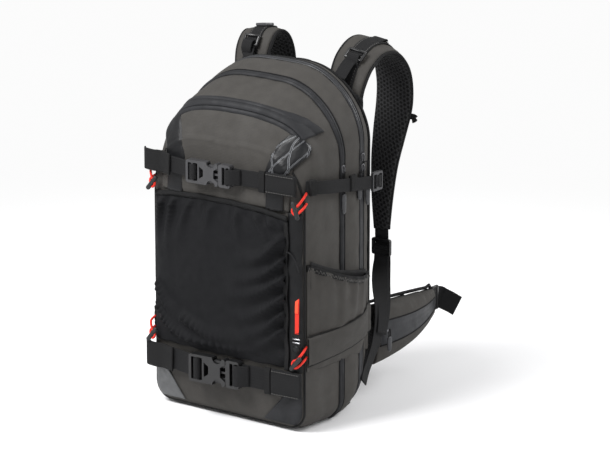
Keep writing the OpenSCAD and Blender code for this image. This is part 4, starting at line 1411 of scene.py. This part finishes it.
def lineGroove(lines):
    def depth(u, v):
        return max([math.exp(-((a * u + b * v - c) / 0.055) ** 2) for a, b, c in lines] or [0])
    return depth


for side in (1, -1):
    tag = tagOf(side)
    padBlock("shoulderBladePad" + tag, side * 72, 398, 90, 94, 19, 26, side * 8, hexMesh,
             lineGroove([(0.3 * side, 1, 0.25), (0.3 * side, 1, -0.35)]), ["back_pads"] if side > 0 else [])
    padBlock("middlePad" + tag, side * 74, 276, 94, 122, 13, 22, 0, hexMesh,
             lineGroove([(0.2 * side, 1, 0.35), (0.2 * side, 1, -0.3)]))
    padBlock("yokePlate" + tag, side * 86, 472, 84, 30, 3.2, 8, 0, web, lineGroove([]),
             ["strap_yoke"] if side > 0 else [])
padBlock("lumbarPad", 0, 132, 190, 126, 17.5, 34, 0, hexMesh,
         lineGroove([(1, 0.15, 0), (0.15, 1, 0.4), (-0.15, 1, 0.4)]))
print("stage: back pads are made")


# ---- straps at the wearer's side ----
def ladderLock(name, centre, along, across, w, l, body, mat, replaces=()):  # a ring with a bar across it
    c, a, b = Vector(centre), Vector(along).normalized(), Vector(across).normalized()
    up = a.cross(b).normalized()
    corner = 3.0
    section = ((-1, -0.5), (-0.5, -1), (0.5, -1), (1, -0.5), (1, 0.5), (0.5, 1), (-0.5, 1), (-1, 0.5))
    ring = []
    for quarter, (sa, sb) in enumerate(((1, 1), (-1, 1), (-1, -1), (1, -1))):
        for k in range(5):
            ang = math.radians(90 * k / 4) + quarter * math.pi / 2
            ring.append(c + a * (sa * (l / 2 - corner) + (corner - 2) * math.cos(ang))
                        + b * (sb * (w / 2 - corner) + (corner - 2) * math.sin(ang)))
    rows = []
    m = len(ring)
    for i in range(m + 1):
        p = ring[i % m]
        run = (ring[(i + 1) % m] - ring[(i - 1) % m]).normalized()
        out = run.cross(up).normalized()
        rows.append([p + out * (1.9 * x) + up * (2.2 * y) for x, y in section])
    finishPiece(closedSweep(name, rows), body, mat, replaces)
    mid = c - a * (0.06 * l)
    tube(name + "Bar0", [mid - b * (w / 2 - 2), mid + up * 1.2, mid + b * (w / 2 - 2)], 2.0, body, mat)


shoulderSet = {
    "widths": [60, 64, 67, 68, 68, 68, 67, 66, 58, 48, 38, 28],
    "thicks": [9, 12, 13, 13, 13, 13, 13, 13, 12.5, 12, 11, 8],
    "rightRun": [(85, 97, 474), (85, 103, 498), (85, 120, 524), (85, 150, 541), (86, 182, 538),
                 (87, 206, 514), (87, 218, 478), (88, 216, 440), (92, 198, 398), (96, 181, 356),
                 (100, 170, 306), (104, 164, 258)],
    "leftRun": [(-92, 97, 474), (-95, 100, 502), (-96, 108, 528), (-95, 124, 546), (-92, 142, 540),
                (-90, 153, 516), (-90, 158, 480), (-91, 159, 440), (-94, 157, 398), (-97, 154, 352),
                (-101, 151, 304), (-105, 149, 258)],
    "rightWeb": [(106, 161, 212), (109, 155, 200), (116, 144, 186), (126, 131, 172), (136, 119, 156),
                 (143, 108, 138), (146, 99, 118), (146, 90, 96), (144, 80, 76), (144, 70, 60), (147, 60, 46)],
    "leftWeb": [(-107, 148, 212), (-110, 144, 200), (-117, 135, 186), (-126, 125, 172), (-136, 115, 156),
                (-143, 106, 138), (-146, 98, 118), (-146, 90, 96), (-144, 80, 76), (-144, 70, 60),
                (-147, 60, 46)],
    "webAcross": [(1, .1, 0), (1, .3, 0), (.9, .6, -.1), (.7, .8, -.2), (.4, 1, -.3), (.15, 1, -.3),
                  (0, 1, -.3), (-.1, 1, -.35), (-.2, 1, -.4), (-.25, 1, -.5), (-.3, 1, -.5)],
}


def shoulderStrap(side):
    tag = "right" if side > 0 else "left"
    body = tag + "_shoulder"
    steps = 6
    run = curveThrough(shoulderSet[tag + "Run"], steps)
    count = len(shoulderSet["widths"])
    upper, lower = (-0.28, -0.05) if side > 0 else (0.12, 0)
    across = [(1, 0, upper if i < 6 else lower) for i in range(count)]
    sides = curveThrough(across, steps)
    widths = valuesThrough(shoulderSet["widths"], steps)
    thicks = valuesThrough(shoulderSet["thicks"], steps)
    section = [(bent(math.cos(a), 0.55), bent(math.sin(a), 0.75)) for a in turns(28)]
    rows = sweptRows(run, sides, [w - 2 for w in widths], [t - 1.2 for t in thicks], section)
    for i, row in enumerate(rows):
        centre = sum(row, Vector()) / len(row)
        for j, p in enumerate(row):
            row[j] = p + (p - centre).normalized() * (0.7 * ripple(p.x * 0.6, p.y, p.z, 14, 71 + side))
    core = closedSweep(tag + "ShoulderPad", rows)
    finishPiece(core, body, hexMesh, [tag + "_shoulder_strap"])

    def onOuter(i, a, lift):  # a across from -1 to 1
        along = (run[min(len(run) - 1, i + 1)] - run[max(0, i - 1)]).normalized()
        s = (sides[i] - along * sides[i].dot(along)).normalized()
        up = s.cross(along)
        b = max(0.0, 1 - abs(a) ** 2.7) ** 0.42
        return run[i] + s * (a * (widths[i] - 2) / 2) + up * (b * (thicks[i] - 1.2) / 2 + lift), up, s

    sheet = []
    for i in range(0, len(run) - 2):
        row = []
        for c in range(15):
            a = mix(-0.93, 0.93, c / 14)
            p, up, s = onOuter(i, a, 0.9)
            row.append(p + up * (0.9 * ripple(p.x, p.y, p.z, 13, 75)))
        sheet.append(row)
    finishPiece(gridPiece(tag + "StrapOuterCloth", sheet, thick=0.8, offset=0), body, olive, ())
    for k, a in enumerate((-1, 1)):
        edge = [onOuter(i, a * 0.985, 0.4)[0] for i in range(0, len(run), 2)]
        tube(f"{tag}StrapBinding{k}", edge, 2.2, body, binding, steps=3)
    middle = [onOuter(i, 0, 2.4) for i in range(0, len(run), 3)]
    webbing(tag + "StrapWebbing", [m[0] for m in middle], [m[2] for m in middle], 25, 1.9, body, web, steps=3)
    for k, a in enumerate((-0.3, 0.3)):
        line = [onOuter(i, a, 3.3) for i in range(4, len(run) - 6, 1)]
        stitchRow(f"{tag}StrapStitch{k}", [p for p, u, s in line], [u for p, u, s in line], body, thread)
    for k, i in enumerate((24, 33, 42, 51)):  # bar tacks that hold the webbing down as daisy loops
        p, up, s = onOuter(i, 0, 3.8)
        tube(f"{tag}BarTack{k}", [p - s * 12, p + up * 0.3, p + s * 12], 1.0, body, thread)
    tip = Vector(shoulderSet[tag + "Run"][-1])
    lock = tip - Vector((0, 0, 28))
    tab = [tip + Vector((-side * 0.5, 1, 14)), tip + Vector((0, 0.6, -4)), lock + Vector((0, 1.6, 7)),
           lock + Vector((0, 4.2, 3)), lock + Vector((0, 3.6, 10))]
    webbing(tag + "StrapTab", tab, (1, 0, 0), 25, 1.9, body, web, steps=4)
    dressNode(tag + "_adjuster", blackPlastic)
    grab = [lock + Vector((0, 1, -6)), lock + Vector((0, 4.6, -9)), lock + Vector((side * 1, 6, -18)),
            lock + Vector((side * 2, 4.5, -27)), lock + Vector((side * 1, 3.0, -20))]
    webbing(tag + "GrabTab", grab, (1, 0.1, 0), 22, 1.8, body, web, steps=4)
    # Load lifter: a webbing from the bag's top rear edge to a ladder lock on the strap.
    p, up, s = onOuter(13, 0, 6.5)
    along = onOuter(14, 0, 6.5)[0] - onOuter(12, 0, 6.5)[0]
    ladderLock(tag + "LifterLock", p, along, s, 31, 20, body, blackPlastic)
    webbing(tag + "LifterStrap", [onOuter(24, 0, 4.4)[0], onOuter(22, 0, 4.6)[0], p + up * 0.5], [s, s, s],
            20, 1.8, body, web)
    top = min(outlineRing(rearY), key=lambda r: abs(r.x - run[0].x) + (1000 if r.z < 300 else 0))
    webbing(tag + "LifterRun", [top + Vector((0, 1, 1)), top.lerp(p, 0.5) + Vector((0, -1, 2)), p - up * 0.5],
            [s, s, s], 20, 1.8, ("bag", body, top, p), web)
    tail = [p + up * 1.5, p + up * 5 - Vector((0, 4, 3)), p + up * 8 - Vector((0, 6, 16)),
            p + up * 6 - Vector((0, 3, 28))]
    webbing(tag + "LifterTail", tail, s, 19, 1.7, body, web, steps=5)
    # Adjuster webbing: two layers from the ladder lock to the bag's lower corner.
    flip = [(x * side, y, z) for x, y, z in shoulderSet["webAcross"]]
    points = [lock + Vector((0, 0.5, 6))] + [Vector(v) for v in shoulderSet[tag + "Web"]]
    bend = ("bag", body, shoulderSet[tag + "Web"][7], lock)
    webbing(tag + "AdjusterWebbing", points, [flip[0]] + flip, 25, 1.9, bend, web, steps=5,
            replaces=["adjuster_webbing"] if side > 0 else [])
    second = [lock + Vector((0, 5, 4))] + [Vector(v) + Vector((side * (2 + i * 0.3), 3.4, -1 - i * 0.6))
                                           for i, v in enumerate(shoulderSet[tag + "Web"][:7])]
    webbing(tag + "AdjusterTail", second, [flip[0]] + flip[:7], 24, 1.8, bend, web, steps=5)
    return onOuter


rightOuter = shoulderStrap(1)
leftOuter = shoulderStrap(-1)


def strapTrim():
    p, up, s = rightOuter(44, 0.9, 1.0)
    run = [p, p + s * 7 + up * 1, p + s * 12 - Vector((0, 0, 3)), p + s * 6 - Vector((0, 0, 6))]
    webbing("strapSideTab", run, (0, 0.3, 1), 9, 2.4, "right_shoulder", web, steps=4)
    p, up, s = rightOuter(46, 0.5, 4.0)
    loop = [p, p + up * 5 + s * 3, p + up * 6 + s * 4 - Vector((0, 0, 8)), p + up * 3 - Vector((0, 0, 16)),
            p - Vector((0, 0, 20))]
    tube("strapRedLoop", loop, 1.5, "right_shoulder", redCord)
    p, up, s = leftOuter(20, 0, 5.2)
    along = leftOuter(22, 0, 5)[0] - leftOuter(18, 0, 5)[0]
    ladderLock("leftStrapRing", p, along, s, 28, 16, "left_shoulder", gunPlastic)
    run = [Vector((42 * math.sin(math.radians(a)), 93.8 + 0.8 * math.sin(math.radians(a * 4)),
                   490 + 30 * max(0, math.cos(math.radians(a))) ** 0.6)) for a in range(-90, 91, 15)]
    webbing("haulHandle", run, (0, 1, 0), 15, 3.4, "haul_handle", web, steps=3, replaces=["haul_handle"])
    webbing("haulHandleGrip", run[4:9], (0, 1, 0), 17, 5.4, "haul_handle", binding, steps=4)


strapTrim()
print("stage: shoulder straps are made")


# ---- hip belt ----
hipSet = {"x": 112, "root": 91.8, "length": 205, "thick": 13, "half": 52, "taper": 31}


def hipX(s):  # s runs from the wing's root, 0, to its tip, 1
    return 105 + 6 * math.sin(math.pi * s)


def hipY(s):
    return hipSet["root"] + hipSet["length"] * s


def hipMid(s):
    return 98 + 16 * s


def hipHalf(s):
    return hipSet["half"] - hipSet["taper"] * s**1.5


def hipSide(side):
    tag = "right" if side > 0 else "left"
    body = tag + "_hip"
    rows = []
    for i in range(33):
        s = i / 32
        h = hipHalf(s) * (1 if s < 0.96 else math.sqrt(max(0.2, 1 - ((s - 0.96) / 0.045) ** 2)))
        t = hipSet["thick"] / 2 * (0.75 + 0.25 * smoothStep(0, 0.1, s) * smoothStep(1, 0.9, s))
        row = []
        for a in turns(32):
            c, sn = bent(math.cos(a), 0.8), bent(math.sin(a), 0.55)
            quilt = 1 - 0.2 * math.exp(-((sn - 0.15) / 0.12) ** 2) - 0.2 * math.exp(-((sn + 0.4) / 0.12) ** 2)
            p = Vector((side * (hipX(s) + t * c * quilt), hipY(s), hipMid(s) + h * sn))
            row.append(p + Vector((side * c * 0.5 * ripple(p.x, p.y, p.z, 15, 81), 0, 0)))
        rows.append(row[::side])
    pad = closedSweep(tag + "HipPad", rows)
    inflate(pad, 0.0025)
    flatUv(pad, 1, 2)
    finishPiece(pad, body, airMesh, [tag + "_hip_wing"])
    top, low = [[(side * hipX(s), hipY(s), hipMid(s) + way * (hipHalf(s) + 0.2))
                 for s in [k / 16 * 0.98 for k in range(17)]] for way in (1, -1)]
    tube(tag + "HipBinding", top + low[::-1], 2.6, body, binding, steps=3)

    def onPocket(s, q, lift=0.0):  # q runs from the pocket's foot, 0, over its front to its top, 1
        y = hipY(s)
        k = (s - 0.16) / 0.80
        h, m = hipHalf(s) - 3, hipMid(s)
        belly = math.sin(math.radians(14 + 160 * min(1, max(0, k))))
        d = (4 + 22 * max(0, belly) ** 0.8) * (1 - 0.2 * k)
        a = math.pi * q
        out = d * math.sin(a) ** 0.55
        z = m - h * bent(math.cos(a), 0.75)
        upper = smoothStep(0.58, 0.75, q)
        crumple = 2.2 * ripple(y * 1.3, z * 0.9, 0, 13, 91 + side) * upper + 1.0 * ripple(y, z, 0, 22, 92)
        band = smoothStep(0.40, 0.43, q) * smoothStep(0.62, 0.59, q)
        out += crumple * math.sin(a) * (1 - band) - 1.2 * band + lift * math.sin(a) ** 0.3
        return Vector((side * (hipX(s) + 6.2 + out), y, z + lift * -math.cos(a)))

    rows = []
    for i in range(49):
        s = mix(0.16, 0.96, i / 48)
        rows.append([onPocket(s, q / 36) for q in range(37)][::side])
    finishPiece(gridPiece(tag + "HipPocket", rows, thick=1.0), body, oliveSide, [tag + "_hip_pocket"])
    for end in (0, -1):
        shut = rows[end]
        centre = sum(shut, Vector()) / len(shut)
        faces = [(k, k + 1, len(shut)) for k in range(len(shut) - 1)]
        mesh = meshPiece(f"{tag}PocketEnd{end}", shut + [centre], faces,
                         [(p.z * mm, p.x * mm) for p in shut + [centre]])
        finishPiece(mesh, body, oliveSide, ())
    band = []
    for i in range(49):
        row = []
        for c in range(17):
            q = mix(0.415, 0.605, c / 16)
            coil = 0.5 * math.exp(-((q - 0.51) / 0.012) ** 2) - 0.9 * math.exp(-((q - 0.51) / 0.035) ** 2)
            row.append(onPocket(mix(0.19, 0.95, i / 48), q, 1.1 + coil))
        band.append(row[::side])
    finishPiece(gridPiece(tag + "HipZip", band, thick=0.7), body, zipFilm, ())
    for k, q in enumerate((0.41, 0.61)):
        edge = [onPocket(mix(0.18, 0.95, c / 24), q, 1.2) for c in range(25)]
        tube(f"{tag}HipZipEdge{k}", edge, 1.1, body, binding, steps=2)
    at = onPocket(0.22, 0.51, 3.0)
    tube(tag + "HipSlider", [at + Vector((0, -7, 0)), at, at + Vector((0, 7, 0.6))], 2.4, body, sliderMetal)
    low, high = nodeBox(tag + "_hip_puller")
    spot = Vector(((low.x + high.x) / 2, (low.y + high.y) / 2, high.z))
    puller = tag + "_hip_puller"
    pullerPiece(tag + "HipPuller", puller, puller, spot, 12, high.z - low.z - 12, (side, 0, 0))
    tipY = hipY(1) + 1
    lock = Vector((side * 104, tipY + 10, 114))
    ladderLock(tag + "BeltLock", lock, (0, 1, 0), (0, 0, 1), 40, 18, body, blackPlastic, [tag + "_belt_end"])
    tab = [(side * 106, tipY - 18, 113), (side * 105, tipY - 2, 114), (side * 104, tipY + 8, 114),
           (side * 101, tipY + 4, 114)]
    webbing(tag + "BeltTab", tab, (0, 0, 1), 34, 2.2, body, web)
    tail = [(side * 103, tipY + 8, 114), (side * 105, tipY + 20, 114), (side * 110, tipY + 24, 111),
            (side * 120, tipY + 29, 106), (side * 132, tipY + 33, 100)]
    webbing(tag + "BeltTail", tail, (0, 0, 1), 34, 3.4, body, web)


for side in (1, -1):
    hipSide(side)
for node, mat in (("frame_sheet", framePlastic), ("frame_stays", brightMetal), ("hydration_sleeve", lining)):
    dressNode(node, mat)
print("stage: hip belt is made")
